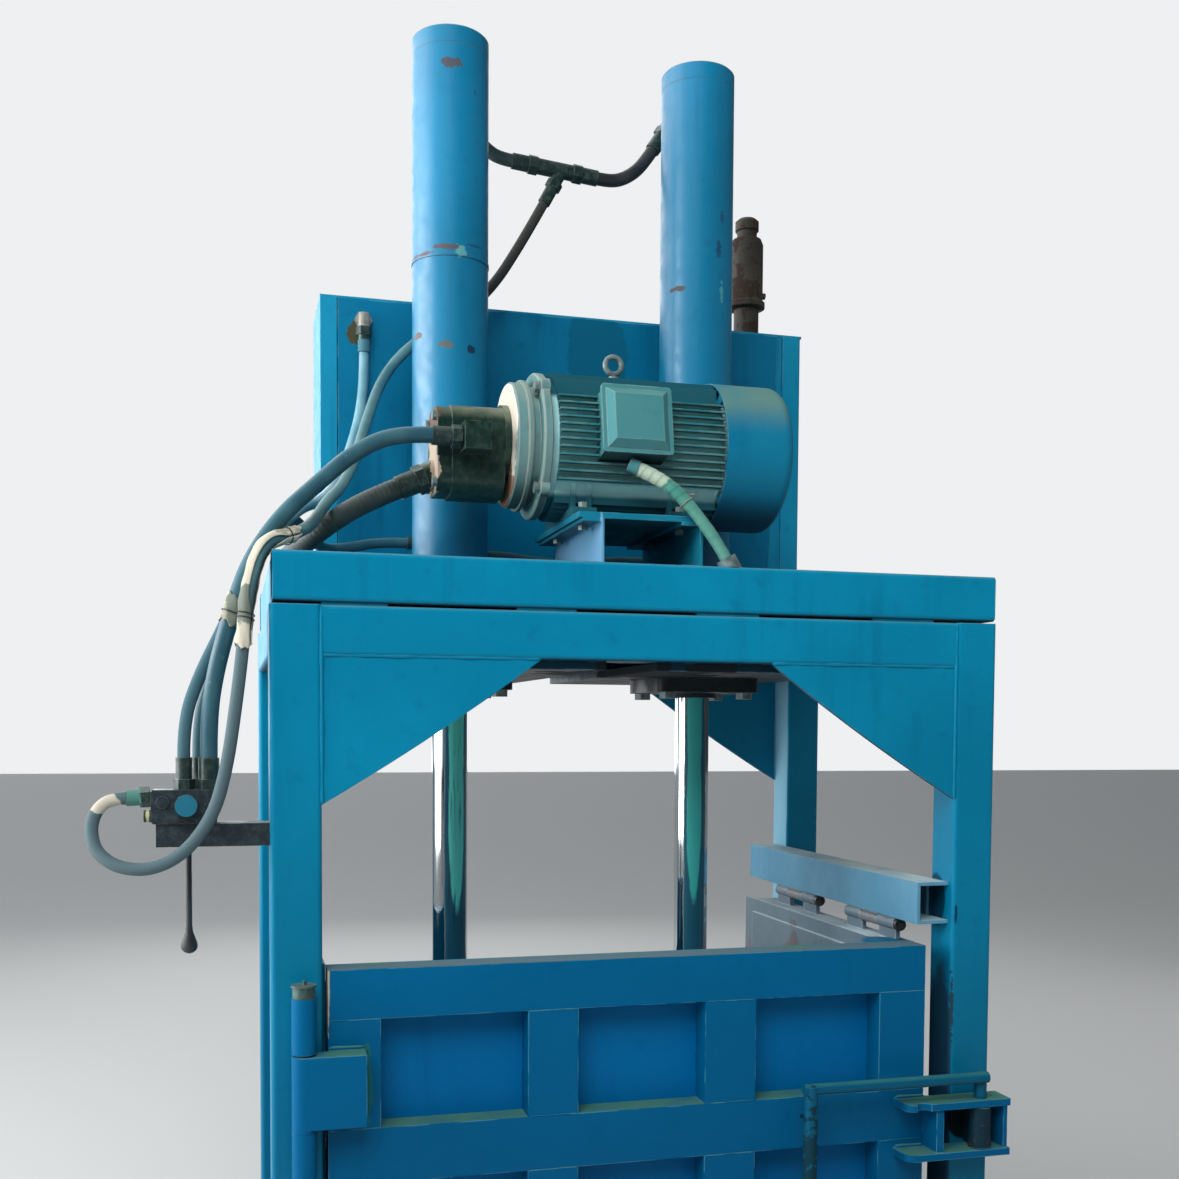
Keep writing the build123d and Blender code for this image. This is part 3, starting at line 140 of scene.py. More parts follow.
# %% [markdown]
# A route becomes a NURBS curve of order three. The order and the end setting come after the
# points, because a spline without points falls back to straight runs. The thickness is in
# the points' radius, on a bevel of one metre, so that Blender's box round the curve is true.
# The same curve without thickness gives the centreline that the sleeve and tape follow.

# %% Curves from the routes
def route_curve(name, thickness):
    """NURBS curve of order 3 on a route's points, with a round section of the given diameter."""
    data = bpy.data.curves.new(name, "CURVE")
    data.dimensions = "3D"
    data.resolution_u = 12
    spline = data.splines.new("NURBS")
    points = np.array(routes[name])
    spline.points.add(len(points) - 1)
    spline.points.foreach_set("co", np.column_stack([points, np.ones(len(points))]).ravel())
    spline.points.foreach_set("radius", np.full(len(points), thickness / 2))
    spline.order_u = 3
    spline.use_endpoint_u = True
    data.bevel_depth = 1.0 if thickness else 0.0
    data.bevel_resolution = 5
    data.use_fill_caps = True
    curve = bpy.data.objects.new(name + "_run", data)
    bpy.context.scene.collection.objects.link(curve)
    return curve


def centreline(name):
    """Points along a route's spline, read from the curve when it has no thickness."""
    bare = route_curve(name, 0.0)
    mesh = bpy.data.meshes.new_from_object(bare)
    line = np.empty(len(mesh.vertices) * 3)
    mesh.vertices.foreach_get("co", line)
    bpy.data.objects.remove(bare)
    bpy.data.meshes.remove(mesh)
    return line.reshape(-1, 3)


def length_of(line):
    """Sum of the distances between neighbouring points."""
    return float(np.linalg.norm(np.diff(line, axis=0), axis=1).sum())


lines = {name: centreline(name) for name in routes}
for name, line in lines.items():
    print(name, "is", round(length_of(line), 3), "m long")

# %% [markdown]
# Each hose is a curve with its diameter on its route, riding on the frame. Both ends go
# into the machine, so nothing is put away or left loose. The conduit and the suction hose
# are rougher than the others and are made as swept meshes further down.

# %% Plain hoses as curves
hose_facts = {
    "pressure_hose": 0.034,
    "return_hose": 0.025,
    "branch_hose": 0.025,
    "lower_hose": 0.025,
    "left_arm_hose": 0.032,
    "right_arm_hose": 0.032,
    "cross_hose": 0.025,
}
hoses = {}
for name, thickness in hose_facts.items():
    hoses[name] = route_curve(name, thickness)
    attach(hoses[name], "frame")
    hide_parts(name)
print("plain hoses:", len(hoses))

# %% [markdown]
# Everything else that is swept, such as a taped conduit, a woven sleeve, a weld bead or a
# wire tie, is one surface: a ring of points carried along a line, with a radius that
# changes with the distance along it and the angle round it. One function makes them all.

# %% A surface swept along a line
def to_mesh(name, grid, closed_ends=True, wrap_along=False):
    """Mesh of a grid of points, rows by columns, whose columns close into rings."""
    rows, columns = grid.shape[:2]
    vertices = grid.reshape(-1, 3)
    row = np.arange(rows if wrap_along else rows - 1)[:, None]
    column = np.arange(columns)[None, :]
    following = (column + 1) % columns
    above = (row + 1) % rows
    faces = np.stack(
        [
            row * columns + column,
            row * columns + following,
            above * columns + following,
            above * columns + column,
        ],
        axis=-1,
    ).reshape(-1, 4).tolist()
    if closed_ends and not wrap_along:
        faces.append(list(range(columns))[::-1])
        faces.append(list(range((rows - 1) * columns, rows * columns)))
    mesh = bpy.data.meshes.new(name)
    mesh.from_pydata(vertices.tolist(), [], faces)
    mesh.polygons.foreach_set("use_smooth", np.ones(len(faces), bool))
    mesh.update()
    return mesh


def along(line, count):
    """The line's points again, count of them, spread evenly by distance."""
    gone = np.concatenate([[0], np.cumsum(np.linalg.norm(np.diff(line, axis=0), axis=1))])
    wanted = np.linspace(0, gone[-1], count)
    return np.column_stack([np.interp(wanted, gone, line[:, i]) for i in range(3)]), wanted


def frames_along(points, up):
    """Unit tangents, and two unit vectors square to them, the first nearest to up."""
    tangent = np.gradient(points, axis=0)
    tangent /= np.linalg.norm(tangent, axis=1)[:, None]
    side = np.cross(tangent, np.broadcast_to(up, tangent.shape))
    side /= np.linalg.norm(side, axis=1)[:, None]
    return tangent, np.cross(side, tangent), side


def sweep(name, line, radius, rings, sides, up=(0.0, 0.31, 0.95)):
    """Ring of sides points carried along a line: p + r(s, a) (cos a * u + sin a * v)."""
    points, distance = along(np.asarray(line), rings)
    tangent, first, second = frames_along(points, np.array(up))
    angle = np.linspace(0, 2 * np.pi, sides, endpoint=False)
    reach = radius(distance[:, None], angle[None, :]) * np.ones((rings, sides))
    ring = np.cos(angle)[None, :, None] * first[:, None] + np.sin(angle)[None, :, None] * second[:, None]
    return to_mesh(name, points[:, None] + reach[..., None] * ring)


def piece(name, mesh, body):
    """Object for a finished mesh, riding on its body."""
    made = bpy.data.objects.new(name, mesh)
    bpy.context.scene.collection.objects.link(made)
    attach(made, body)
    return made


# %% [markdown]
# The motor's cable runs in a conduit wrapped with tape. Each turn of tape overlaps the last
# one, so the radius climbs slowly and drops at the tape's edge, and the step runs round as
# a helix. Below the tie the tape was pulled tighter, so the conduit is slimmer there. The
# suction hose is fatter and oily, with the faint rings of the wire inside it.

# %% Taped conduit and suction hose
def taped(distance, angle):
    """r = 14.2 mm, less 1.4 mm past the tie, plus 1.4 mm over each 19 mm turn of tape."""
    lap = (distance / 0.019 + angle / (2 * np.pi)) % 1.0
    tight = 1 / (1 + np.exp((0.12 - distance) / 0.012))
    return 0.0142 - 0.0014 * tight + (0.0014 - 0.0009 * tight) * lap + 0.0002 * np.sin(distance * 70)


def ringed(distance, angle):
    """r = 22.6 mm with a 0.35 mm ripple every 11 mm for the wire inside."""
    return 0.0226 + 0.00035 * np.cos(2 * np.pi * distance / 0.011)


conduit = piece(
    "taped_conduit", sweep("taped_conduit", lines["motor_cable"], taped, 160, 24), "frame",
)
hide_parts("motor_cable")
suction = piece(
    "suction_line", sweep("suction_line", lines["suction_hose"], ringed, 330, 28), "frame",
)
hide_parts("suction_hose")
print("swept cords:", conduit.name, suction.name)


# %% [markdown]
# Where two hoses lean on the deck's edge they wear cream woven sleeves, slit along one side
# to slip over the hose and tied with wire. The slit gapes between the ties and shows the
# hose. A sleeve's outline is a letter C: round the outside from the slit, and back inside.

# %% Slit sleeves
def slit_sleeve(name, line, ties_at, reach, gape, rings=150, sides=30):
    """C-shaped tube: half the gap is gape |sin(pi s / L)| radians, pinched at each tie."""
    points, distance = along(line, rings)
    _, first, second = frames_along(points, np.array((0.0, 0.31, 0.95)))
    toward = np.array((0.80, -0.60, 0.0))
    middle = np.arctan2(second @ toward, first @ toward)[:, None]
    pinch = np.exp(-((np.min(np.abs(distance[:, None] - ties_at), axis=1) / 0.022) ** 2))[:, None]
    run = distance[:, None] / distance[-1]
    half = 0.06 + gape * np.abs(np.sin(np.pi * run)) * (1 - 0.85 * pinch)
    angle = middle + half + (2 * np.pi - 2 * half) * np.linspace(0, 1, sides)[None, :]
    folds = 0.0006 * np.sin(5 * angle + distance[:, None] * 90) + 0.0004 * np.sin(distance[:, None] * 160)
    ragged = 0.0012 * np.sin(9 * angle) * (np.exp(-run * 30) + np.exp(-(1 - run) * 30))
    outside = reach + folds + ragged - 0.0016 * pinch
    angle = np.concatenate([angle, angle[:, ::-1]], axis=1)
    radius = np.concatenate([outside, (outside - 0.0013)[:, ::-1]], axis=1)
    ring = np.cos(angle)[..., None] * first[:, None] + np.sin(angle)[..., None] * second[:, None]
    grid = points[:, None] + radius[..., None] * ring
    ends = 0.007 * np.sin(2 * angle[[0, -1]] + 0.8) + 0.003 * np.sin(7 * angle[[0, -1]])
    tangent = np.gradient(points, axis=0)
    tangent /= np.linalg.norm(tangent, axis=1)[:, None]
    fade = np.stack([np.exp(-run[:, 0] * 25), np.exp(-(1 - run[:, 0]) * 25)])
    shift = fade[0][:, None] * ends[0][None, :] + fade[1][:, None] * ends[1][None, :]
    return to_mesh(name, grid + shift[..., None] * tangent[:, None])


def tie_ring(name, line, at, reach, turns=1):
    """Wire wound round a line: centre + reach (cos a u + sin a v), 1.1 mm thick, with a tail."""
    points, distance = along(line, 200)
    _, u, v = frames_along(points, np.array((0.0, 0.31, 0.95)))
    index = int(np.argmin(np.abs(distance - at)))
    tangent = np.cross(u[index], v[index])
    angle = np.linspace(0, 2 * np.pi * turns + 0.5, 44 * turns)[:, None]
    climb = (angle / (2 * np.pi) - turns / 2) * 0.009
    out = np.cos(angle) * u[index] + np.sin(angle) * v[index]
    path = points[index] + reach * out - climb * tangent
    tail = path[-1] + np.linspace(0.1, 1, 8)[:, None] * (0.010 * out[-1] + 0.006 * tangent)
    return sweep(name, np.vstack([path, tail]), lambda s, a: 0.0011, 60 * turns, 7, (0.1, 0.05, 1.0))


def part_of(name, low, high, left=-9.0):
    """The stretch of a route's line between two heights, right of a limit."""
    line = lines[name]
    inside = (line[:, 2] > low) & (line[:, 2] < high) & (line[:, 0] > left)
    return line[inside]


deck_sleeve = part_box("hose_sleeve")
sleeve_line = part_of("branch_hose", deck_sleeve[0].z, deck_sleeve[1].z, -0.85)
sleeve_length = length_of(sleeve_line)
sleeve_ties = np.array([0.09, 0.80, 0.86]) * sleeve_length
sleeve = piece(
    "woven_sleeve", slit_sleeve("woven_sleeve", sleeve_line, sleeve_ties, 0.0168, 0.95), "frame",
)
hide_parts("hose_sleeve")
collar_line = part_of("pressure_hose", 1.752, 1.812)
collar_ties = np.array([0.62]) * length_of(collar_line)
collar = piece(
    "woven_collar", slit_sleeve("woven_collar", collar_line, collar_ties, 0.0202, 0.3, 70), "frame",
)
ties = []
for line, places, reach, turns in (
    (sleeve_line, sleeve_ties[:2], 0.0172, (1, 2)), (collar_line, collar_ties, 0.0206, (1,)),
):
    for place, count in zip(places, turns):
        label = "sleeve_tie_%d" % len(ties)
        ties.append(piece(label, tie_ring(label, line, place, reach, count), "frame"))
conduit_tie = piece(
    "conduit_tie", tie_ring("conduit_tie", lines["motor_cable"], 0.125, 0.0158), "frame",
)
print("sleeve", round(sleeve_length, 3), "m, collar", round(length_of(collar_line), 3), "m")

# %% [markdown]
# The frame is stick-welded. A weld bead is a half-sunk bar whose surface rises and falls
# every few millimetres, where the welder moved on. Each joint that shows gets a bead along
# its corner, and its ends taper out.

# %% Weld beads
def bead(start, end, size=0.0042):
    """Grid of a bead: r = size (0.85 + 0.15 |sin|) every 5 mm, tapering over its last 8 mm."""
    start, end = np.array(start), np.array(end)
    length = float(np.linalg.norm(end - start))
    rings = max(12, int(length / 0.0022))
    distance = np.linspace(0, length, rings)[:, None]
    direction = (end - start) / length
    up = np.array((0.0, 0.0, 1.0)) if abs(direction[2]) < 0.9 else np.array((1.0, 0.0, 0.0))
    first = np.cross(direction, up)
    first /= np.linalg.norm(first)
    second = np.cross(direction, first)
    angle = np.linspace(0, 2 * np.pi, 8, endpoint=False)[None, :]
    taper = np.sqrt(np.clip(np.minimum(distance, length - distance) / 0.008, 0.05, 1.0))
    wander = 0.12 * np.sin(distance * 37 + start[0] * 50) + 0.1 * np.sin(distance * 91)
    reach = size * taper * (0.82 + wander + 0.18 * np.abs(np.sin(np.pi * distance / 0.005)))
    ring = np.cos(angle)[..., None] * first + np.sin(angle)[..., None] * second
    return start + distance[..., None] * direction + reach[..., None] * ring


def beads(name, runs, body, size=0.0042):
    """One piece made of many beads."""
    meshes = [to_mesh(name, bead(start, end, size)) for start, end in runs]
    vertices, faces, shift = [], [], 0
    for mesh in meshes:
        flat = np.empty(len(mesh.vertices) * 3)
        mesh.vertices.foreach_get("co", flat)
        vertices.append(flat.reshape(-1, 3))
        faces += [[i + shift for i in face.vertices] for face in mesh.polygons]
        shift += len(mesh.vertices)
        bpy.data.meshes.remove(mesh)
    joined = bpy.data.meshes.new(name)
    joined.from_pydata(np.vstack(vertices).tolist(), [], faces)
    joined.polygons.foreach_set("use_smooth", np.ones(len(faces), bool))
    joined.update()
    return piece(name, joined, body)


half_width, front, rear = 0.8, -0.515, 0.515
post_inner, beam_bottom, slot_bottom = 0.7, 1.695, 1.795
gusset_low, gusset_reach = 1.400, 0.445
frame_runs = []
for y, corner in ((front + 0.003, front + 0.0055), (rear - 0.0055, rear - 0.0055)):
    for side in (-1, 1):
        x = side * post_inner
        frame_runs.append(((x, y, gusset_low), (x, y, slot_bottom)))
        low = beam_bottom + 0.001
        frame_runs.append(((x, corner, low), (x - side * gusset_reach, corner, low)))
for x in (-half_width + 0.0052, half_width - 0.0052):
    for y in (front + 0.1, rear - 0.1):
        frame_runs.append(((x, y, beam_bottom), (x, y, slot_bottom)))
hinge_x, hinge_low = -0.739, -0.520
for level in (0.0, hinge_low):
    for low in (0.649, 0.915):
        for side in (-1, 1):
            x = hinge_x + side * 0.013
            frame_runs.append(((x, front - 0.002, low + level), (x, front - 0.002, low + level + 0.108)))
frame_beads = beads("frame_beads", frame_runs, "frame", 0.0044)
rail_runs = [((0.7035, y, 1.1165), (0.7035, y, 1.2085)) for y in (front + 0.0985, rear - 0.0985)]
rail_beads = beads("rail_beads", rail_runs, "frame", 0.0078)
print("frame beads:", len(frame_runs) + len(rail_runs))

# %% Beads on the gate
gate_stiles = ((-0.690, -0.585), (-0.281, -0.173), (0.109, 0.226), (0.522, 0.634))
gate_rails = (0.968, 0.746, 0.632, 0.264)
seam_runs = [
    ((x0, front + 0.0006, z), (x1, front + 0.0006, z)) for x0, x1 in gate_stiles for z in gate_rails
]
leaf_right, leaf_low, leaf_top = -0.6185, 0.767, 0.911
leaf_runs = []
for level in (0.0, hinge_low):
    x, low, top = leaf_right + 0.002, leaf_low + level, leaf_top + level
    leaf_runs.append(((x, front - 0.003, low), (x, front - 0.003, top)))
    leaf_runs.append(((-0.690, front - 0.002, top + 0.002), (leaf_right, front - 0.002, top + 0.002)))
for level in (0.0, -0.380):
    for top in (0.728 + level, 0.616 + level):
        leaf_runs.append(((0.562, front - 0.002, top + 0.001), (0.634, front - 0.002, top + 0.001)))
gate_seams = beads("gate_seams", seam_runs, "gate", 0.0016)
gate_beads = beads("gate_beads", leaf_runs, "gate", 0.0058)
print("gate beads:", len(seam_runs) + len(leaf_runs))

# %% [markdown]
# Colours are written as they look on a screen and turned into the linear numbers that the
# shader wants. A node helper keeps the cells short: it adds a node, joins what is a socket
# and sets what is a number.

# %% Colour and node helpers
def screen(red, green, blue):
    """Linear colour of a screen colour: ((c + 0.055) / 1.055) ^ 2.4 above the dark toe."""
    level = np.array([red, green, blue]) / 255
    linear = np.where(level <= 0.04045, level / 12.92, ((level + 0.055) / 1.055) ** 2.4)
    return tuple(float(v) for v in linear) + (1.0,)


def add(tree, kind, inputs=None, **settings):
    """Adds a node; inputs that are sockets are joined, the others are set."""
    made = tree.nodes.new(kind)
    for name, value in settings.items():
        setattr(made, name, value)
    for key, value in (inputs or {}).items():
        if isinstance(value, bpy.types.NodeSocket):
            tree.links.new(value, made.inputs[key])
        else:
            made.inputs[key].default_value = value
    return made


def blend_colour(tree, mask, below, above, how="MIX"):
    """Colour that goes from below to above as the mask goes from 0 to 1."""
    mixed = add(tree, "ShaderNodeMix", {0: mask, 6: below, 7: above}, data_type="RGBA", blend_type=how)
    return mixed.outputs[2]


def blend_value(tree, mask, below, above):
    """Number that goes from below to above as the mask goes from 0 to 1."""
    return add(tree, "ShaderNodeMix", {0: mask, 2: below, 3: above}).outputs[0]


def times(tree, first, second):
    """Product of two numbers."""
    return add(tree, "ShaderNodeMath", {0: first, 1: second}, operation="MULTIPLY").outputs[0]


def ramp(tree, value, low, high, to_low=0.0, to_high=1.0):
    """Smooth step of a value between two levels."""
    made = add(
        tree, "ShaderNodeMapRange",
        {0: value, 1: low, 2: high, 3: to_low, 4: to_high}, interpolation_type="SMOOTHSTEP",
    )
    return made.outputs[0]


def start_group(name, inputs, outputs):
    """Empty node group with named sockets, its inputs and its outputs."""
    tree = bpy.data.node_groups.new(name, "ShaderNodeTree")
    for label, kind, value in inputs:
        socket = tree.interface.new_socket(label, in_out="INPUT", socket_type="NodeSocket" + kind)
        socket.default_value = value
    for label, kind in outputs:
        tree.interface.new_socket(label, in_out="OUTPUT", socket_type="NodeSocket" + kind)
    return tree, tree.nodes.new("NodeGroupInput").outputs, tree.nodes.new("NodeGroupOutput").inputs


def use(tree, group, inputs=None):
    """A group placed in a tree with its own values."""
    placed = tree.nodes.new("ShaderNodeGroup")
    placed.node_tree = group
    for key, value in (inputs or {}).items():
        if isinstance(value, bpy.types.NodeSocket):
            tree.links.new(value, placed.inputs[key])
        else:
            placed.inputs[key].default_value = value
    return placed.outputs


# %% [markdown]
# Old machine paint fails in the same few ways everywhere, so each way is a node group. Paint
# wears through at corners: there a bevelled normal differs from the true one. Rust comes in
# ragged spots, dust lies on what faces up, and rain and oil leave streaks that run down.

# %% Groups for worn edges, spots, dust and streaks
def make_edge_wear():
    """Mask that is 1 where a rounded normal turns away from the true one, broken by noise."""
    tree, given, result = start_group(
        "edge_wear", [("Width", "Float", 0.003), ("Grain", "Float", 30.0), ("Amount", "Float", 0.5)],
        [("Mask", "Float")],
    )
    place = add(tree, "ShaderNodeTexCoord").outputs["Object"]
    rounded = add(tree, "ShaderNodeBevel", {"Radius": given["Width"]}, samples=4)
    true_normal = add(tree, "ShaderNodeNewGeometry").outputs["Normal"]
    dot = add(
        tree, "ShaderNodeVectorMath", {0: rounded.outputs[0], 1: true_normal}, operation="DOT_PRODUCT"
    ).outputs["Value"]
    bend = ramp(tree, dot, 0.995, 0.86)
    noise = add(
        tree, "ShaderNodeTexNoise", {"Vector": place, "Scale": given["Grain"], "Detail": 5.0}
    ).outputs["Fac"]
    broken = ramp(tree, noise, 0.62, 0.38)
    weighed = add(tree, "ShaderNodeMath", {0: broken, 1: given["Amount"]}, operation="ADD").outputs[0]
    cut = ramp(tree, weighed, 0.45, 1.1)
    tree.links.new(times(tree, bend, cut), result["Mask"])
    return tree


def make_spots():
    """Ragged islands where fractal noise passes a level set by Amount."""
    tree, given, result = start_group(
        "spots", [("Grain", "Float", 14.0), ("Amount", "Float", 0.3), ("Shift", "Float", 0.0)],
        [("Mask", "Float")],
    )
    place = add(tree, "ShaderNodeTexCoord").outputs["Object"]
    moved = add(tree, "ShaderNodeVectorMath", {0: place, 1: given["Shift"]}, operation="ADD").outputs[0]
    coarse = add(
        tree, "ShaderNodeTexNoise",
        {"Vector": moved, "Scale": given["Grain"], "Detail": 8.0, "Roughness": 0.62},
    ).outputs["Fac"]
    level = add(
        tree, "ShaderNodeMath", {0: 0.83, 1: times(tree, given["Amount"], 0.3)}, operation="SUBTRACT"
    ).outputs[0]
    above = add(tree, "ShaderNodeMath", {0: level, 1: 0.03}, operation="ADD").outputs[0]
    tree.links.new(ramp(tree, coarse, level, above), result["Mask"])
    return tree


def make_dust():
    """Mask of upward faces, more where soft noise is high."""
    tree, given, result = start_group(
        "settled_dust",
        [
            ("Amount", "Float", 0.5), ("Grain", "Float", 9.0), ("From", "Float", 0.35),
            ("Full", "Float", 0.95),
        ],
        [("Mask", "Float")],
    )
    place = add(tree, "ShaderNodeTexCoord").outputs["Object"]
    normal = add(tree, "ShaderNodeNewGeometry").outputs["Normal"]
    up = add(tree, "ShaderNodeSeparateXYZ", {0: normal}).outputs["Z"]
    lying = ramp(tree, up, given["From"], given["Full"])
    noise = add(
        tree, "ShaderNodeTexNoise", {"Vector": place, "Scale": given["Grain"], "Detail": 6.0}
    ).outputs["Fac"]
    uneven = ramp(tree, noise, 0.25, 0.7, 0.45, 1.0)
    tree.links.new(times(tree, times(tree, lying, uneven), given["Amount"]), result["Mask"])
    return tree


def make_streaks():
    """Vertical runs: noise stretched along Z, thinned by a slower noise."""
    tree, given, result = start_group(
        "runs_down", [("Width", "Float", 40.0), ("Amount", "Float", 0.4)], [("Mask", "Float")]
    )
    place = add(tree, "ShaderNodeTexCoord").outputs["Object"]
    stretched = add(
        tree, "ShaderNodeVectorMath", {0: place, 1: (1.0, 1.0, 0.06)}, operation="MULTIPLY"
    ).outputs[0]
    fine = add(
        tree, "ShaderNodeTexNoise", {"Vector": stretched, "Scale": given["Width"], "Detail": 3.0}
    ).outputs["Fac"]
    patch = add(tree, "ShaderNodeTexNoise", {"Vector": place, "Scale": 3.0}).outputs["Fac"]
    mask = times(tree, ramp(tree, fine, 0.5, 0.72), ramp(tree, patch, 0.42, 0.62))
    tree.links.new(times(tree, mask, given["Amount"]), result["Mask"])
    return tree


def make_placed_mark():
    """Ragged patch: 1 inside an ellipsoid round Centre whose border is moved by noise."""
    tree, given, result = start_group(
        "placed_mark",
        [
            ("Centre", "Vector", (0.0, 0.0, 0.0)), ("Reach", "Vector", (0.1, 0.1, 0.1)),
            ("Ragged", "Float", 0.6), ("Grain", "Float", 30.0),
        ],
        [("Mask", "Float")],
    )
    place = add(tree, "ShaderNodeTexCoord").outputs["Object"]
    away = add(tree, "ShaderNodeVectorMath", {0: place, 1: given["Centre"]}, operation="SUBTRACT").outputs[0]
    scaled = add(tree, "ShaderNodeVectorMath", {0: away, 1: given["Reach"]}, operation="DIVIDE").outputs[0]
    far = add(tree, "ShaderNodeVectorMath", {0: scaled}, operation="LENGTH").outputs["Value"]
    noise = add(
        tree, "ShaderNodeTexNoise",
        {"Vector": place, "Scale": given["Grain"], "Detail": 7.0, "Roughness": 0.6},
    ).outputs["Fac"]
    centred = add(tree, "ShaderNodeMath", {0: noise, 1: 0.5}, operation="SUBTRACT").outputs[0]
    moved = times(tree, centred, times(tree, given["Ragged"], 4.0))
    border = add(tree, "ShaderNodeMath", {0: far, 1: moved}, operation="ADD").outputs[0]
    tree.links.new(ramp(tree, border, 1.0, 0.86), result["Mask"])
    return tree


edge_wear = make_edge_wear()
spots = make_spots()
settled_dust = make_dust()
runs_down = make_streaks()
placed_mark = make_placed_mark()

# %% [markdown]
# Brushed enamel is the coat on nearly everything here. The group lays the layers in this
# order: two tones of paint, streaks, a painted shade that deepens towards the bottom, worn
# edges, rust, grime with painted shade on faces that look down, and dust. It also puts out a
# roughness and a height, because rust and dust are matt and enamel isn't, and brushed paint
# has long faint ridges.

# %% Group for old brushed enamel
def make_enamel():
    """Colour, roughness and height of old paint, with painted shade low down and underneath."""
    tree, given, result = start_group(
        "old_enamel",
        [
            ("Paint", "Color", screen(16, 120, 160)), ("Faded", "Color", screen(40, 150, 185)),
            ("Rust", "Color", screen(96, 58, 40)), ("Edge", "Color", screen(90, 150, 180)),
            ("Dust", "Color", screen(120, 140, 130)), ("Edges", "Float", 0.5),
            ("Rust spots", "Float", 0.2), ("Dust on top", "Float", 0.4), ("Streaks", "Float", 0.4),
            ("Gloss", "Float", 0.35), ("Dust from", "Float", 0.35), ("Dust full", "Float", 0.95),
            ("Grime and shade below", "Float", 0.7),
        ],
        [("Color", "Color"), ("Roughness", "Float"), ("Height", "Float")],
    )
    place = add(tree, "ShaderNodeTexCoord").outputs["Object"]
    broad = add(tree, "ShaderNodeTexNoise", {"Vector": place, "Scale": 2.6, "Detail": 4.0}).outputs["Fac"]
    mottle = add(
        tree, "ShaderNodeTexNoise", {"Vector": place, "Scale": 26.0, "Detail": 7.0, "Roughness": 0.6}
    ).outputs["Fac"]
    tone = blend_colour(tree, ramp(tree, broad, 0.35, 0.68), given["Paint"], given["Faded"])
    darker = blend_colour(tree, 1.0, given["Paint"], (0.55, 0.6, 0.66, 1.0), "MULTIPLY")
    tone = blend_colour(tree, ramp(tree, mottle, 0.56, 0.8, 0.0, 0.45), tone, darker)
    streak = use(tree, runs_down, {"Width": 34.0, "Amount": given["Streaks"]})["Mask"]
    tone = blend_colour(tree, streak, tone, darker)
    # Painted shade: the paint grows darker towards the bottom, where less light falls.
    level = add(tree, "ShaderNodeSeparateXYZ", {0: place}).outputs["Z"]
    painted_low_shade = ramp(tree, level, 1.9, 0.5, 0.0, 0.85)
    tone = blend_colour(tree, painted_low_shade, tone, darker)
    worn = use(tree, edge_wear, {"Width": 0.0035, "Grain": 18.0, "Amount": given["Edges"]})["Mask"]
    tone = blend_colour(tree, worn, tone, given["Edge"])
    chips = use(tree, spots, {"Grain": 17.0, "Amount": given["Rust spots"], "Shift": 3.1})["Mask"]
    fine_chips = use(tree, spots, {"Grain": 60.0, "Amount": given["Rust spots"], "Shift": 7.7})["Mask"]
    rusty = add(tree, "ShaderNodeMath", {0: chips, 1: fine_chips}, operation="MAXIMUM").outputs[0]
    tone = blend_colour(tree, rusty, tone, given["Rust"])
    normal = add(tree, "ShaderNodeNewGeometry").outputs["Normal"]
    upward = add(tree, "ShaderNodeSeparateXYZ", {0: normal}).outputs["Z"]
    # Faces that look down go dark grey: partly grime, partly painted shade.
    under = times(tree, ramp(tree, upward, -0.55, -0.95), given["Grime and shade below"])
    tone = blend_colour(tree, under, tone, screen(34, 36, 36))
    dusty = use(
        tree, settled_dust,
        {
            "Amount": given["Dust on top"], "Grain": 8.0, "From": given["Dust from"],
            "Full": given["Dust full"],
        },
    )["Mask"]
    tone = blend_colour(tree, dusty, tone, given["Dust"])
    tree.links.new(tone, result["Color"])
    rough = blend_value(tree, ramp(tree, mottle, 0.3, 0.7), given["Gloss"], 0.5)
    rough = blend_value(tree, rusty, rough, 0.85)
    tree.links.new(blend_value(tree, dusty, rough, 0.9), result["Roughness"])
    brushed = add(
        tree, "ShaderNodeVectorMath", {0: place, 1: (1.0, 1.0, 0.12)}, operation="MULTIPLY"
    ).outputs[0]
    ridges = add(tree, "ShaderNodeTexNoise", {"Vector": brushed, "Scale": 260.0, "Detail": 3.0}).outputs["Fac"]
    height = blend_value(tree, 0.35, ridges, mottle)
    tree.links.new(blend_value(tree, rusty, height, 0.2), result["Height"])
    return tree


old_enamel = make_enamel()


def new_finish(name):
    """Material with an empty tree, a Principled shader and its output."""
    material = bpy.data.materials.new(name)
    material.use_nodes = True
    tree = material.node_tree
    tree.nodes.clear()
    shader = add(tree, "ShaderNodeBsdfPrincipled")
    add(tree, "ShaderNodeOutputMaterial", {"Surface": shader.outputs[0]})
    return material, tree, shader.inputs


def feed(tree, shader, **sockets):
    """Joins or sets the shader's inputs; Height is a bump over edges rounded by Round."""
    height = sockets.pop("Height", None)
    depth = sockets.pop("Depth", 0.0006)
    rounded = sockets.pop("Round", 0.0)
    if height is not None:
        bump = add(tree, "ShaderNodeBump", {"Height": height, "Strength": 0.6, "Distance": depth})
        tree.links.new(bump.outputs[0], shader["Normal"])
        if rounded:
            soft_edge = add(tree, "ShaderNodeBevel", {"Radius": rounded}, samples=4)
            tree.links.new(soft_edge.outputs[0], bump.inputs["Normal"])
    for key, value in sockets.items():
        key = key.replace("_", " ")
        if isinstance(value, bpy.types.NodeSocket):
            tree.links.new(value, shader[key])
        else:
            shader[key].default_value = value


def lay_marks(tree, colour, rough, marks):
    """Lays marks, given as (centre, reach, ragged, grain, colour), over a colour."""
    for centre, reach, ragged, grain, tone in marks:
        mask = use(
            tree, placed_mark, {"Centre": centre, "Reach": reach, "Ragged": ragged, "Grain": grain}
        )["Mask"]
        colour = blend_colour(tree, mask, colour, screen(*tone))
        rough = blend_value(tree, mask, rough, 0.8)
    return colour, rough


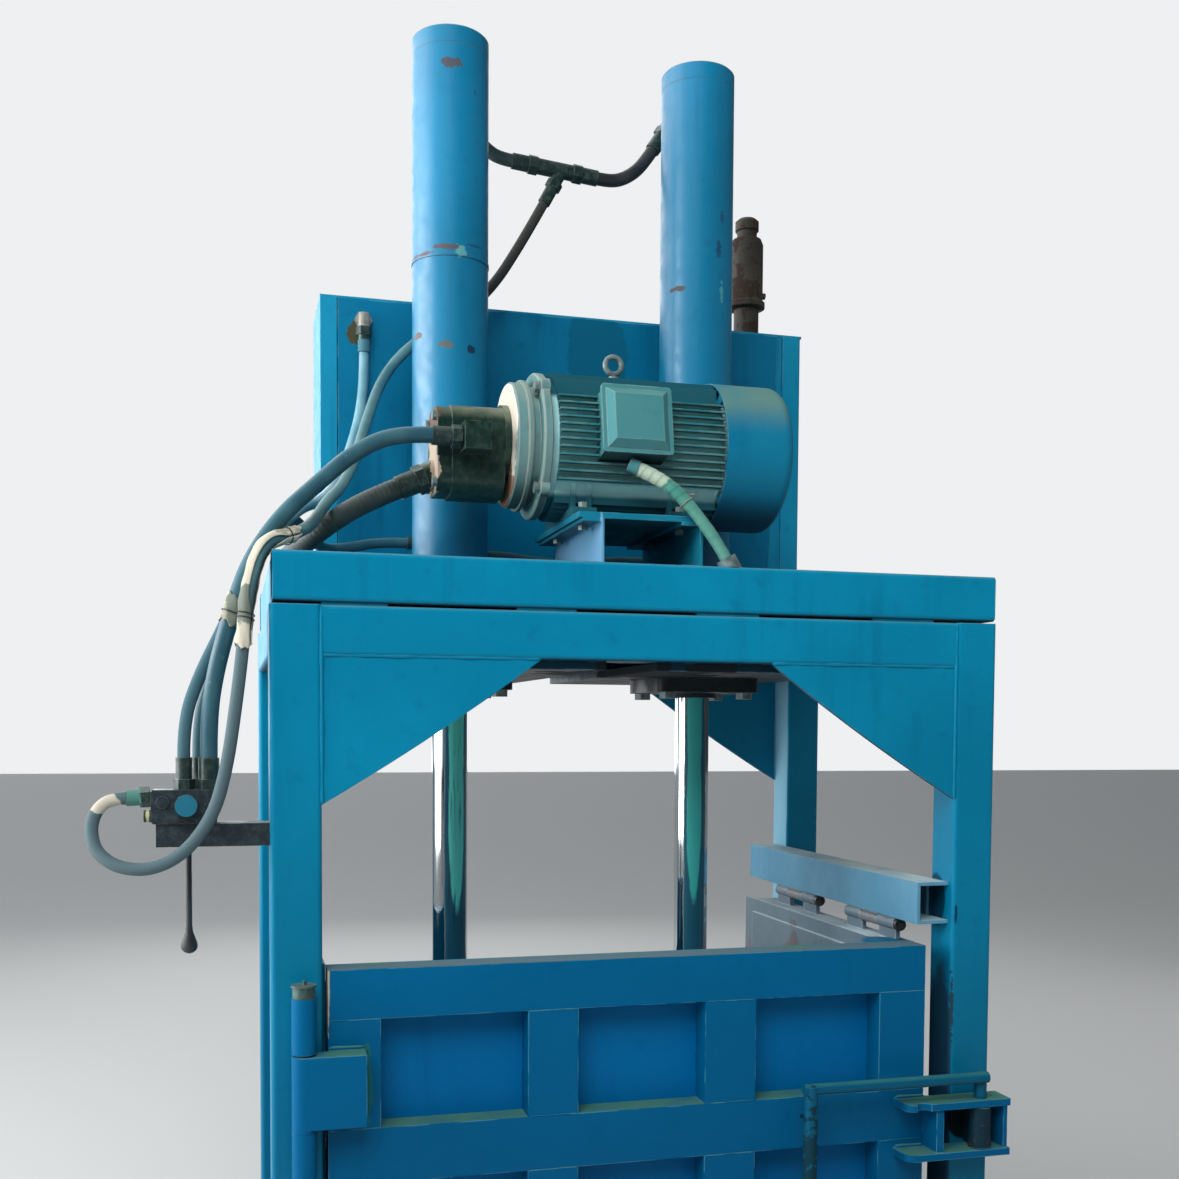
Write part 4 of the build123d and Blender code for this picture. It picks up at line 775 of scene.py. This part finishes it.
def painted(name, paint, faded, edges=0.3, rust=0.15, dust=0.5, streaks=0.3, gloss=0.36,
            edge=(96, 160, 184), rust_tone=(84, 56, 46), dust_tone=(110, 138, 128),
            dust_from=0.35, dust_full=0.95, grime=0.75, shine=0.16, marks=()):
    """Enamel finish in two tones of a paint, with the ways it has aged, painted shade low down and underneath,
    and its marks.
    """
    material, tree, shader = new_finish(name)
    coat = use(
        tree, old_enamel,
        {
            "Paint": screen(*paint), "Faded": screen(*faded), "Rust": screen(*rust_tone),
            "Edge": screen(*edge), "Dust": screen(*dust_tone), "Edges": edges,
            "Rust spots": rust, "Dust on top": dust, "Streaks": streaks, "Gloss": gloss,
            "Dust from": dust_from, "Dust full": dust_full, "Grime and shade below": grime,
        },
    )
    colour, rough = lay_marks(tree, coat["Color"], coat["Roughness"], marks)
    feed(
        tree, shader, Base_Color=colour, Roughness=rough, Height=coat["Height"], Depth=0.0007,
        Round=0.003,
    )
    shader["Specular IOR Level"].default_value = shine
    return material


finishes = {}
finishes["frame_blue"] = painted(
    "frame_enamel", (0, 128, 165), (2, 140, 178), rust=0.2, dust_tone=(112, 150, 140),
    marks=[
        # Dark on the right front post's inner face below the rail: painted shade, with grease.
        ((0.700, -0.46, 0.56), (0.006, 0.09, 0.52), 0.12, 6.0, (24, 64, 88)),
        ((0.702, -0.515, 0.93), (0.005, 0.008, 0.09), 0.9, 90.0, (34, 62, 78)),
        # Pale blue on the rear right post's inner face: a painted reflection of the bright left side.
        ((0.700, 0.465, 1.60), (0.006, 0.060, 1.10), 0.15, 6.0, (132, 186, 210)),
        ((0.700, -0.440, 1.1625), (0.006, 0.045, 0.066), 0.1, 10.0, (2, 66, 92)),
        ((0.709, -0.515, 1.141), (0.003, 0.01, 0.020), 0.6, 60.0, (8, 62, 92)),
        # Near-black on the post inside the two lock brackets: painted shade.
        ((0.752, -0.515, 0.665), (0.060, 0.012, 0.052), 0.1, 12.0, (10, 26, 31)),
        ((0.752, -0.515, 0.285), (0.060, 0.012, 0.052), 0.1, 12.0, (10, 26, 31)),
    ],
)
# The side rail takes a paler copy of the frame blue: a painted reflection of the bright left side on its web,
# with dust on top.
finishes["rail_blue"] = painted(
    "rail_enamel", (82, 152, 184), (130, 186, 210), edges=0.55, rust=0.25, dust=1.0, streaks=0.5,
    dust_tone=(194, 212, 210), shine=0.3,
)
# The plates under the deck take a darker copy of the frame blue with oil grime; the darkness, and the dark
# patch under the deck, are partly painted shade.
finishes["under_plate"] = painted(
    "under_plate_enamel", (10, 56, 78), (22, 46, 58), rust=0.35, dust=0.2, streaks=0.6,
    rust_tone=(42, 42, 44), grime=0.95,
    marks=[((0.02, -0.30, 1.68), (0.20, 0.26, 0.05), 0.6, 10.0, (26, 36, 42))],
)
finishes["gate_blue"] = painted(
    "gate_enamel", (0, 108, 156), (0, 116, 168), edges=0.3, rust=0.14, dust=0.95, streaks=0.5,
    dust_tone=(82, 134, 112), dust_from=0.3, dust_full=0.8, shine=0.08,
    marks=[
        # Pale on the gate's left edge face: a painted reflection of the bright left side, with rust in it.
        ((-0.690, -0.49, 1.02), (0.004, 0.06, 0.095), 0.35, 40.0, (176, 168, 150)),
        ((-0.10, -0.485, 1.070), (0.90, 0.05, 0.0012), 0.5, 8.0, (92, 118, 128)),
        ((-0.612, -0.515, 0.84), (0.012, 0.012, 0.085), 0.6, 26.0, (34, 108, 112)),
        ((0.345, -0.515, 0.702), (0.016, 0.01, 0.005), 0.6, 60.0, (8, 52, 78)),
        # Near-black on the gate inside the two lock brackets: painted shade.
        ((0.735, -0.495, 0.664), (0.085, 0.05, 0.050), 0.12, 12.0, (12, 32, 40)),
        ((0.735, -0.495, 0.284), (0.085, 0.05, 0.050), 0.12, 12.0, (12, 32, 40)),
    ],
)
finishes["skin_blue"] = painted(
    "skin_enamel", (0, 122, 184), (0, 130, 194), edges=0.2, rust=0.14, dust=0.8, streaks=0.5,
    dust_tone=(82, 134, 112), shine=0.08,
)
finishes["lock_blue"] = painted(
    "lock_enamel", (2, 102, 134), (6, 112, 142), edges=0.6, rust=0.35, dust=0.7, streaks=0.4,
    edge=(60, 130, 150), dust_tone=(60, 124, 116),
    marks=[((0.33, -0.575, 0.53), (0.03, 0.03, 0.24), 0.75, 55.0, (16, 56, 70))],
)
finishes["dark_sleeve"] = painted(
    "dark_sleeve_enamel", (14, 50, 66), (30, 74, 86), edges=0.8, rust=0.75, dust=0.3, streaks=0.7,
)
finishes["cylinder_blue"] = painted(
    "cylinder_enamel", (2, 114, 152), (4, 124, 166), edges=0.45, rust=0.14, dust=0.3,
    streaks=0.35, edge=(88, 112, 116), gloss=0.3, shine=0.7,
    marks=[
        ((-0.432, -0.06, 2.650), (0.026, 0.05, 0.0060), 0.85, 34.0, (110, 98, 104)),
        ((-0.388, -0.09, 2.6625), (0.046, 0.03, 0.0052), 0.8, 34.0, (90, 84, 92)),
        ((-0.318, -0.08, 2.672), (0.032, 0.03, 0.0034), 0.4, 34.0, (22, 84, 124)),
        ((-0.352, -0.09, 2.655), (0.012, 0.03, 0.013), 1.0, 90.0, (92, 160, 164)),
        ((-0.376, -0.09, 3.077), (0.024, 0.03, 0.011), 0.8, 44.0, (78, 80, 90)),
        ((-0.446, -0.04, 2.468), (0.010, 0.03, 0.007), 0.7, 44.0, (110, 104, 104)),
        ((-0.389, -0.09, 2.440), (0.018, 0.03, 0.008), 0.8, 44.0, (92, 100, 100)),
        ((-0.327, -0.08, 2.430), (0.011, 0.03, 0.010), 0.9, 44.0, (24, 58, 86)),
        ((0.1884, -0.06, 2.6266), (0.020, 0.03, 0.0075), 0.7, 40.0, (88, 82, 86)),
        ((0.292, -0.08, 2.80), (0.006, 0.03, 0.016), 1.0, 120.0, (20, 84, 118)),
        ((0.284, -0.08, 2.72), (0.007, 0.03, 0.020), 1.0, 120.0, (18, 76, 108)),
        ((0.292, -0.08, 2.62), (0.005, 0.03, 0.024), 1.0, 120.0, (70, 150, 160)),
        ((-0.318, -0.09, 3.02), (0.006, 0.03, 0.010), 1.0, 120.0, (24, 100, 140)),
    ],
)
# The front plate takes a darker copy of the tank's blue than the body's edges; the darker tone is partly
# painted shade from the cylinders in front of it.
finishes["tank_blue"] = painted(
    "tank_enamel", (4, 102, 139), (8, 114, 151), rust=0.15, streaks=0.5,
    marks=[
        ((0.06, 0.245, 2.52), (0.085, 0.04, 0.16), 0.3, 9.0, (8, 94, 124)),
        ((-0.556, 0.245, 2.545), (0.026, 0.02, 0.028), 0.6, 30.0, (74, 74, 56)),
    ],
)
finishes["tank_edge"] = painted(
    "tank_edge_enamel", (14, 132, 168), (24, 142, 178), rust=0.12, streaks=0.4,
)
finishes["panel_paint"] = painted(
    "panel_enamel", (114, 132, 142), (128, 158, 172), edges=0.9, rust=0.25, dust=0.9, streaks=0.6,
    edge=(206, 218, 222), rust_tone=(126, 100, 98), dust_tone=(196, 216, 224),
    marks=[
        ((0.62, 0.02, 0.75), (0.06, 0.80, 0.275), 0.3, 12.0, (118, 112, 118)),
        ((0.62, -0.46, 1.048), (0.08, 0.22, 0.020), 0.2, 12.0, (34, 98, 130)),
    ],
)
finishes["knuckle_paint"] = painted(
    "knuckle_enamel", (132, 136, 140), (168, 160, 158), edges=0.9, rust=0.7, dust=0.5,
    streaks=0.5, edge=(200, 204, 204), rust_tone=(116, 84, 76),
)
finishes["motor_teal"] = painted(
    "motor_enamel", (46, 118, 130), (60, 130, 138), edges=0.4, rust=0.06, dust=0.75, streaks=0.2,
    edge=(130, 164, 160), dust_tone=(76, 112, 112), gloss=0.5,
    marks=[
        # Painted light: pale teal in the grooves between the fins lifts their shade; the next two marks keep
        # it off the top and bottom with a darker teal.
        ((-0.013, -0.275, 2.175), (1.6, 0.1555, 0.1555), 0.02, 10.0, (190, 238, 238)),
        ((-0.013, -0.275, 2.362), (1.6, 0.8, 0.107), 0.02, 10.0, (34, 92, 104)),
        ((-0.013, -0.275, 1.985), (1.6, 0.8, 0.080), 0.02, 10.0, (38, 92, 104)),
    ],
)
finishes["stand_paint"] = painted(
    "stand_enamel", (14, 122, 150), (24, 132, 158), rust=0.2, streaks=0.4, shine=0.3,
    # Pale strip on the stand's left web: partly paler paint, partly a painted highlight of the bright left
    # side.
    marks=[((-0.114, -0.25, 1.87), (0.008, 0.34, 0.20), 0.12, 8.0, (118, 172, 208))],
)
finishes["cover_teal"] = painted(
    "cover_enamel", (6, 112, 150), (16, 122, 156), edges=0.4, rust=0.05, dust=0.95, streaks=0.2,
    edge=(120, 160, 160), dust_tone=(98, 136, 126), dust_from=0.12, dust_full=0.6, gloss=0.5,
)
finishes["box_teal"] = painted(
    "box_enamel", (66, 130, 136), (78, 138, 140), edges=0.6, rust=0.05, dust=0.7, streaks=0.2,
    edge=(150, 180, 178), dust_tone=(104, 146, 140), gloss=0.5,
)
finishes["drive_pale"] = painted(
    "drive_enamel", (92, 134, 136), (116, 150, 148), edges=1.0, rust=0.4, dust=0.8, streaks=0.4,
    edge=(206, 190, 170), rust_tone=(128, 96, 78), dust_tone=(150, 162, 150), gloss=0.5,
    marks=[
        ((-0.2865, -0.275, 2.21), (0.004, 0.16, 0.17), 0.5, 14.0, (222, 212, 196)),
        ((-0.2865, -0.275, 2.07), (0.004, 0.12, 0.055), 0.7, 22.0, (150, 112, 92)),
    ],
)
finishes["breather_brown"] = painted(
    "breather_enamel", (54, 52, 48), (74, 70, 64), edges=0.6, rust=0.9, dust=0.3, streaks=0.6,
    edge=(84, 84, 80), rust_tone=(62, 50, 44), gloss=0.6,
)
print("enamels:", len(finishes))

# %% [markdown]
# The other finishes are metal, rubber, cloth and plastic. Hard chrome is almost a mirror, and
# what it shows is the frame, the floor and the bright room, so its own colour is nearly even.
# Oily castings are dark with a wet shine in patches. Rubber is matt, scuffed and dusty.

# %% Metals
def chrome():
    """Mirror with oil haze; down one side a painted dark reflection, with a green film over part of it."""
    material, tree, shader = new_finish("rod_chrome")
    haze = use(tree, runs_down, {"Width": 60.0, "Amount": 0.7})["Mask"]
    colour = blend_colour(tree, haze, screen(206, 212, 214), screen(150, 158, 156))
    rough, metal = blend_value(tree, haze, 0.06, 0.2), 1.0
    lines_down = use(tree, runs_down, {"Width": 150.0, "Amount": 0.9})["Mask"]
    dark = (36, 92, 110), (22, 60, 80)
    green = (64, 188, 180), (20, 96, 98)
    pale_green = (100, 232, 218), (20, 96, 98)
    # The dark entries are a painted reflection along the rods' lower length; the green entries are films over
    # it.
    for centre, reach, (film_and_reflection_light, film_and_reflection_dark) in (
        ((-0.350, -0.043, 1.25), (0.0345, 0.03, 0.80), dark),
        ((-0.352, -0.043, 1.34), (0.0215, 0.03, 0.24), pale_green),
        ((-0.352, -0.043, 1.66), (0.0225, 0.03, 0.42), pale_green),
        ((0.253, -0.036, 1.25), (0.0300, 0.03, 0.80), dark),
        ((0.250, -0.035, 1.345), (0.0200, 0.03, 0.24), green),
        ((0.250, -0.035, 1.66), (0.0205, 0.03, 0.42), green),
    ):
        film_and_reflection_tone = blend_colour(tree, lines_down, screen(*film_and_reflection_light), screen(*film_and_reflection_dark))
        film = use(tree, placed_mark, {"Centre": centre, "Reach": reach, "Ragged": 0.06, "Grain": 20.0})
        colour = blend_colour(tree, film["Mask"], colour, film_and_reflection_tone)
        rough = blend_value(tree, film["Mask"], rough, 0.3)
        metal = blend_value(tree, film["Mask"], metal, 0.15)
    feed(tree, shader, Base_Color=colour, Roughness=rough, Metallic=metal)
    return material


def steel(name, light, dark, rust, amount, rough=0.45, metal=0.75, dust=0.3, marks=()):
    """Worn bare steel with rust islands, dust on top and marks."""
    material, tree, shader = new_finish(name)
    place = add(tree, "ShaderNodeTexCoord").outputs["Object"]
    cloud = add(
        tree, "ShaderNodeTexNoise", {"Vector": place, "Scale": 45.0, "Detail": 8.0, "Roughness": 0.65}
    ).outputs["Fac"]
    base = blend_colour(tree, ramp(tree, cloud, 0.35, 0.65), screen(*dark), screen(*light))
    rusty = use(tree, spots, {"Grain": 28.0, "Amount": amount, "Shift": 1.7})["Mask"]
    worn = use(tree, edge_wear, {"Width": 0.002, "Grain": 60.0, "Amount": 0.5})["Mask"]
    base = blend_colour(tree, rusty, base, screen(*rust))
    base = blend_colour(tree, times(tree, worn, 0.6), base, screen(*light))
    dusty = use(tree, settled_dust, {"Amount": dust, "Grain": 20.0})["Mask"]
    base = blend_colour(tree, dusty, base, screen(112, 124, 106))
    shine = blend_value(tree, rusty, metal, 0.05)
    base, roughness = lay_marks(tree, base, blend_value(tree, rusty, rough, 0.85), marks)
    feed(
        tree, shader, Base_Color=base, Metallic=shine, Roughness=roughness, Height=cloud,
        Depth=0.0004, Round=0.0012,
    )
    return material


def oily(name, dark, light, wet=0.25, dust=0.45, dust_tone=(98, 108, 98), marks=()):
    """Casting or fitting under old oil: dark, with wet patches, grit and marks."""
    material, tree, shader = new_finish(name)
    place = add(tree, "ShaderNodeTexCoord").outputs["Object"]
    grit = add(
        tree, "ShaderNodeTexNoise", {"Vector": place, "Scale": 70.0, "Detail": 9.0, "Roughness": 0.7}
    ).outputs["Fac"]
    film = add(tree, "ShaderNodeTexNoise", {"Vector": place, "Scale": 11.0, "Detail": 4.0}).outputs["Fac"]
    base = blend_colour(tree, ramp(tree, grit, 0.4, 0.7), screen(*dark), screen(*light))
    dusty = use(tree, settled_dust, {"Amount": dust, "Grain": 20.0, "From": 0.2, "Full": 0.8})["Mask"]
    base = blend_colour(tree, dusty, base, screen(*dust_tone))
    worn = use(tree, edge_wear, {"Width": 0.0025, "Grain": 50.0, "Amount": 0.4})["Mask"]
    base = blend_colour(tree, times(tree, worn, 0.7), base, screen(120, 128, 118))
    base, roughness = lay_marks(tree, base, ramp(tree, film, 0.4, 0.62, wet, 0.62), marks)
    feed(
        tree, shader, Base_Color=base, Metallic=0.15, Height=grit, Depth=0.0010,
        Roughness=roughness, Round=0.0015,
    )
    return material


finishes["rod_chrome"] = chrome()
finishes["bare_steel"] = steel("bare_steel", (122, 118, 108), (78, 72, 66), (88, 66, 54), 0.5)
finishes["bolt_grey"] = steel(
    "bolt_grey", (136, 152, 152), (88, 106, 106), (96, 78, 66), 0.35, metal=0.2, dust=0.5
)
finishes["pin_cap"] = steel(
    "pin_cap", (84, 110, 104), (48, 74, 74), (66, 74, 66), 0.4, metal=0.15, dust=0.6
)
finishes["dark_pin"] = steel("dark_pin", (70, 70, 68), (36, 38, 40), (66, 52, 46), 0.4, metal=0.4)
finishes["pale_elbow"] = steel(
    "pale_elbow", (164, 160, 150), (120, 120, 112), (112, 84, 62), 0.45, metal=0.1, dust=0.5
)
finishes["head_dark"] = oily("oily_head", (12, 28, 34), (32, 38, 38), 0.4, 0.2)
finishes["fitting_steel"] = oily(
    "oily_fittings", (30, 50, 50), (66, 82, 74), 0.3,
    marks=[
        ((-1.055, -0.456, 1.41), (0.016, 0.04, 0.04), 0.1, 20.0, (84, 136, 126)),
        ((-0.544, 0.222, 2.485), (0.05, 0.05, 0.040), 0.1, 20.0, (74, 124, 138)),
    ],
)
finishes["pump_dark"] = oily(
    "oily_pump", (20, 46, 42), (48, 70, 58), 0.28, 1.0, (120, 128, 108),
    marks=[
        ((-0.4455, -0.275, 2.12), (0.008, 0.085, 0.070), 0.8, 34.0, (184, 168, 150)),
        ((-0.4455, -0.275, 2.22), (0.008, 0.085, 0.028), 0.7, 34.0, (104, 84, 74)),
    ],
)
finishes["valve_black"] = oily(
    "oily_valve", (34, 46, 52), (60, 72, 78), 0.35, 0.6, (92, 104, 102),
    marks=[
        ((-0.957, -0.522, 1.401), (0.023, 0.012, 0.023), 0.08, 20.0, (34, 116, 142)),
        ((-1.030, -0.47, 1.379), (0.006, 0.02, 0.016), 0.3, 30.0, (196, 200, 146)),
    ],
)

# %% Rubber, cloth, tape and plastic
def rubber(name, dark, light, dusting, grain=90.0, dust=0.5, marks=()):
    """Matt hose cover with scuffs, a film of dust and marks."""
    material, tree, shader = new_finish(name)
    place = add(tree, "ShaderNodeTexCoord").outputs["Object"]
    cloud = add(tree, "ShaderNodeTexNoise", {"Vector": place, "Scale": 12.0, "Detail": 6.0}).outputs["Fac"]
    fine = add(tree, "ShaderNodeTexNoise", {"Vector": place, "Scale": grain * 4, "Detail": 4.0}).outputs["Fac"]
    base = blend_colour(tree, ramp(tree, cloud, 0.35, 0.7), screen(*dark), screen(*light))
    scuffs = use(tree, spots, {"Grain": 40.0, "Amount": 0.55, "Shift": 5.0})["Mask"]
    base = blend_colour(tree, times(tree, scuffs, 0.5), base, screen(*dusting))
    dusty = use(tree, settled_dust, {"Amount": dust, "Grain": 14.0})["Mask"]
    base = blend_colour(tree, dusty, base, screen(*dusting))
    base, rough = lay_marks(tree, base, ramp(tree, cloud, 0.3, 0.7, 0.42, 0.66), marks)
    feed(tree, shader, Base_Color=base, Height=fine, Depth=0.0005, Roughness=rough)
    return material


def woven(name, light, dark, threads):
    """Plain weave: two crossed sine waves in Object space, with grime in broad patches."""
    material, tree, shader = new_finish(name)
    place = add(tree, "ShaderNodeTexCoord").outputs["Object"]
    tilted = add(
        tree, "ShaderNodeMapping", {"Vector": place, "Rotation": (0.4, 0.6, 0.785)}
    ).outputs[0]
    warp = add(
        tree, "ShaderNodeTexWave", {"Vector": tilted, "Scale": threads, "Distortion": 0.4},
        bands_direction="X",
    ).outputs["Fac"]
    weft = add(
        tree, "ShaderNodeTexWave", {"Vector": tilted, "Scale": threads, "Distortion": 0.4},
        bands_direction="Z",
    ).outputs["Fac"]
    cloth = add(tree, "ShaderNodeMath", {0: warp, 1: weft}, operation="MAXIMUM").outputs[0]
    grime = use(tree, spots, {"Grain": 9.0, "Amount": 1.0, "Shift": 2.2})["Mask"]
    base = blend_colour(tree, ramp(tree, cloth, 0.2, 0.9), screen(*dark), screen(*light))
    base = blend_colour(tree, times(tree, grime, 0.6), base, screen(120, 118, 96))
    # Grey-green at the sleeve's lower end: grime, and painted shade on its lower side.
    below = ((-0.838, -0.498, 1.785), (0.05, 0.05, 0.050), 0.5, 14.0, (122, 132, 120))
    base, rough = lay_marks(tree, base, 0.85, [below])
    feed(tree, shader, Base_Color=base, Roughness=rough, Height=cloth, Depth=0.001)
    shader["Sheen Weight"].default_value = 0.2
    return material


finishes["hose_rubber"] = rubber("hose_rubber", (38, 82, 96), (58, 100, 112), (104, 132, 130))
# The return hose is paler than the others: partly its dusty cover, partly a painted highlight of the bright
# left side. It is darker lower down.
finishes["hose_pale"] = rubber(
    "hose_pale", (98, 150, 166), (132, 178, 188), (200, 216, 216),
    marks=[((-0.92, -0.45, 1.60), (0.20, 0.25, 0.36), 0.2, 6.0, (62, 98, 110))],
)
finishes["hose_left_arm"] = rubber("hose_left_arm", (48, 66, 66), (72, 92, 88), (104, 112, 104))
finishes["hose_right_arm"] = rubber("hose_right_arm", (40, 42, 44), (58, 60, 62), (92, 90, 88))
finishes["branch_rubber"] = rubber(
    "branch_rubber", (66, 108, 118), (92, 134, 136), (130, 150, 138), dust=0.35,
    marks=[
        ((-0.16, 0.125, 2.76), (0.15, 0.10, 0.17), 0.2, 6.0, (58, 60, 56)),
        ((-0.97, -0.50, 1.40), (0.27, 0.20, 0.50), 0.15, 5.0, (80, 102, 108)),
        ((-1.112, -0.46, 1.402), (0.030, 0.03, 0.022), 0.4, 18.0, (194, 188, 172)),
    ],
)
finishes["suction_rubber"] = rubber(
    "suction_rubber", (44, 54, 53), (68, 80, 78), (106, 116, 110), dust=0.6
)
finishes["knob_black"] = rubber("knob_plastic", (38, 40, 44), (60, 62, 66), (84, 88, 90), 60.0)
finishes["sleeve_cream"] = woven("woven_sleeve", (232, 226, 206), (186, 184, 160), 320.0)
finishes["cable_green"] = rubber(
    "conduit_tape", (66, 136, 124), (100, 162, 146), (168, 190, 170), 40.0, 0.6,
    marks=[((0.000, -0.455, 2.098), (0.052, 0.05, 0.045), 0.5, 16.0, (176, 194, 174))],
)
print("finishes:", len(finishes))

# %% [markdown]
# The record says which slot each solid takes its finish from. Most solids take it as it is.
# Some have their own coat, because they were painted at another time, lie under oil or dust, or carry painted
# light and shade.

# %% Give every piece its finish
slots = {entry["node"]: entry["material_slot"] for entry in frame["record"]["subparts"]}
own_finish = {
    "tank_body": "tank_edge", "tank_front_plate": "tank_blue", "side_rail": "rail_blue",
    "cylinder_plates": "under_plate", "cylinder_heads": "head_dark", "lock_frame": "lock_blue",
    "lock_sleeves": "dark_sleeve", "gate_pins": "pin_cap", "motor_stand": "stand_paint",
    "gate_skin": "skin_blue", "rail_knuckles": "knuckle_paint", "panel_pins": "dark_pin",
    "fan_cover": "cover_teal", "terminal_box": "box_teal", "drive_end_flange": "drive_pale",
    "fasteners": "bolt_grey", "tank_elbows": "pale_elbow",
}
for name, solid in nodes.items():
    finish = finishes[own_finish.get(name, slots[name])]
    if not solid.data.materials:
        solid.data.materials.append(finish)
    for holder in solid.material_slots:
        holder.material = finish
own_rubber = {
    "return_hose": "hose_pale", "branch_hose": "branch_rubber", "left_arm_hose": "hose_left_arm",
    "right_arm_hose": "hose_right_arm",
}
for name, hose in hoses.items():
    hose.data.materials.append(finishes[own_rubber.get(name, "hose_rubber")])
added = [
    (conduit, "cable_green"), (suction, "suction_rubber"), (sleeve, "sleeve_cream"),
    (collar, "sleeve_cream"), (conduit_tie, "sleeve_cream"), (frame_beads, "frame_blue"),
    (gate_seams, "gate_blue"), (gate_beads, "gate_blue"), (rail_beads, "frame_blue"),
]
for made, finish in added + [(tie, "dark_pin") for tie in ties]:
    made.data.materials.append(finishes[finish])
print("solids finished:", len(slots))

# %% [markdown]
# The floor is a plain pale sheet. One large lamp on the left stands for the bright bay doors,
# and one high in front for the roof lights, so the deck shades what is under it. Mirrors and
# glossy paint see a room that is bright at the back left and dim in front, which is what
# makes the left-hand faces shine; the world that lights things softly is even.

# %% Floor, lamps and room
floor_mesh = bpy.data.meshes.new("floor")
reach = 40.0
floor_mesh.from_pydata(
    [(-reach, -reach, 0), (reach, -reach, 0), (reach, reach, 0), (-reach, reach, 0)], [], [(0, 1, 2, 3)]
)
floor = bpy.data.objects.new("floor", floor_mesh)
bpy.context.scene.collection.objects.link(floor)
floor_paint, tree, shader = new_finish("floor_paint")
cloud = add(tree, "ShaderNodeTexNoise", {"Scale": 0.8, "Detail": 3.0}).outputs["Fac"]
feed(
    tree, shader, Base_Color=blend_colour(tree, cloud, screen(196, 197, 196), screen(206, 207, 206)),
    Roughness=0.7,
)
floor.data.materials.append(floor_paint)


def lamp(name, place, aim, size, power, tint):
    """Area lamp aimed at a point."""
    data = bpy.data.lights.new(name, "AREA")
    data.shape = "RECTANGLE"
    data.size, data.size_y = size
    data.energy = power
    data.color = tint
    made = bpy.data.objects.new(name, data)
    bpy.context.scene.collection.objects.link(made)
    made.location = place
    made.rotation_euler = (Vector(aim) - Vector(place)).to_track_quat("-Z", "Y").to_euler()
    return made


lamp("door_light", (-5.6, 0.3, 2.7), (0.0, 0.0, 1.6), (5.0, 4.0), 380.0, (1.0, 0.99, 0.98))
roof_light = lamp(
    "roof_light", (-1.9, -3.7, 5.0), (-0.2, 0.0, 1.8), (3.6, 3.0), 212.0, (0.97, 0.99, 1.0)
)
right_fill = lamp(
    "right_fill", (5.5, 1.6, 3.0), (0.0, 0.0, 1.6), (4.0, 4.0), 26.0, (1.0, 1.0, 1.0)
)
rear_fill = lamp("rear_fill", (0.6, 6.2, 3.8), (0.0, 0.0, 1.6), (4.0, 4.0), 90.0, (1.0, 1.0, 1.0))
for soft_lamp in (roof_light, right_fill, rear_fill):
    soft_lamp.visible_glossy = False
world = bpy.data.worlds.new("room")
bpy.context.scene.world = world
world.use_nodes = True
room = world.node_tree
room.nodes.clear()
path = add(room, "ShaderNodeLightPath").outputs
direction = add(room, "ShaderNodeTexCoord").outputs["Generated"]
toward_door = add(
    room, "ShaderNodeVectorMath", {0: direction, 1: (-0.75, 0.66, 0.0)}, operation="DOT_PRODUCT"
).outputs["Value"]
glow = ramp(room, toward_door, -0.15, 0.75, 0.04, 2.6)
soft = add(room, "ShaderNodeBackground", {"Color": (0.93, 0.96, 1.0, 1.0), "Strength": 0.28})
mirrored = add(room, "ShaderNodeBackground", {"Color": (0.92, 0.96, 1.0, 1.0), "Strength": glow})
white = add(room, "ShaderNodeBackground", {"Color": (0.86, 0.87, 0.88, 1.0), "Strength": 1.0})
shown = add(
    room, "ShaderNodeMixShader", {0: path["Is Glossy Ray"], 1: soft.outputs[0], 2: mirrored.outputs[0]}
)
choice = add(
    room, "ShaderNodeMixShader", {0: path["Is Camera Ray"], 1: shown.outputs[0], 2: white.outputs[0]}
)
add(room, "ShaderNodeOutputWorld", {"Surface": choice.outputs[0]})
bpy.context.scene.view_settings.view_transform = "Standard"
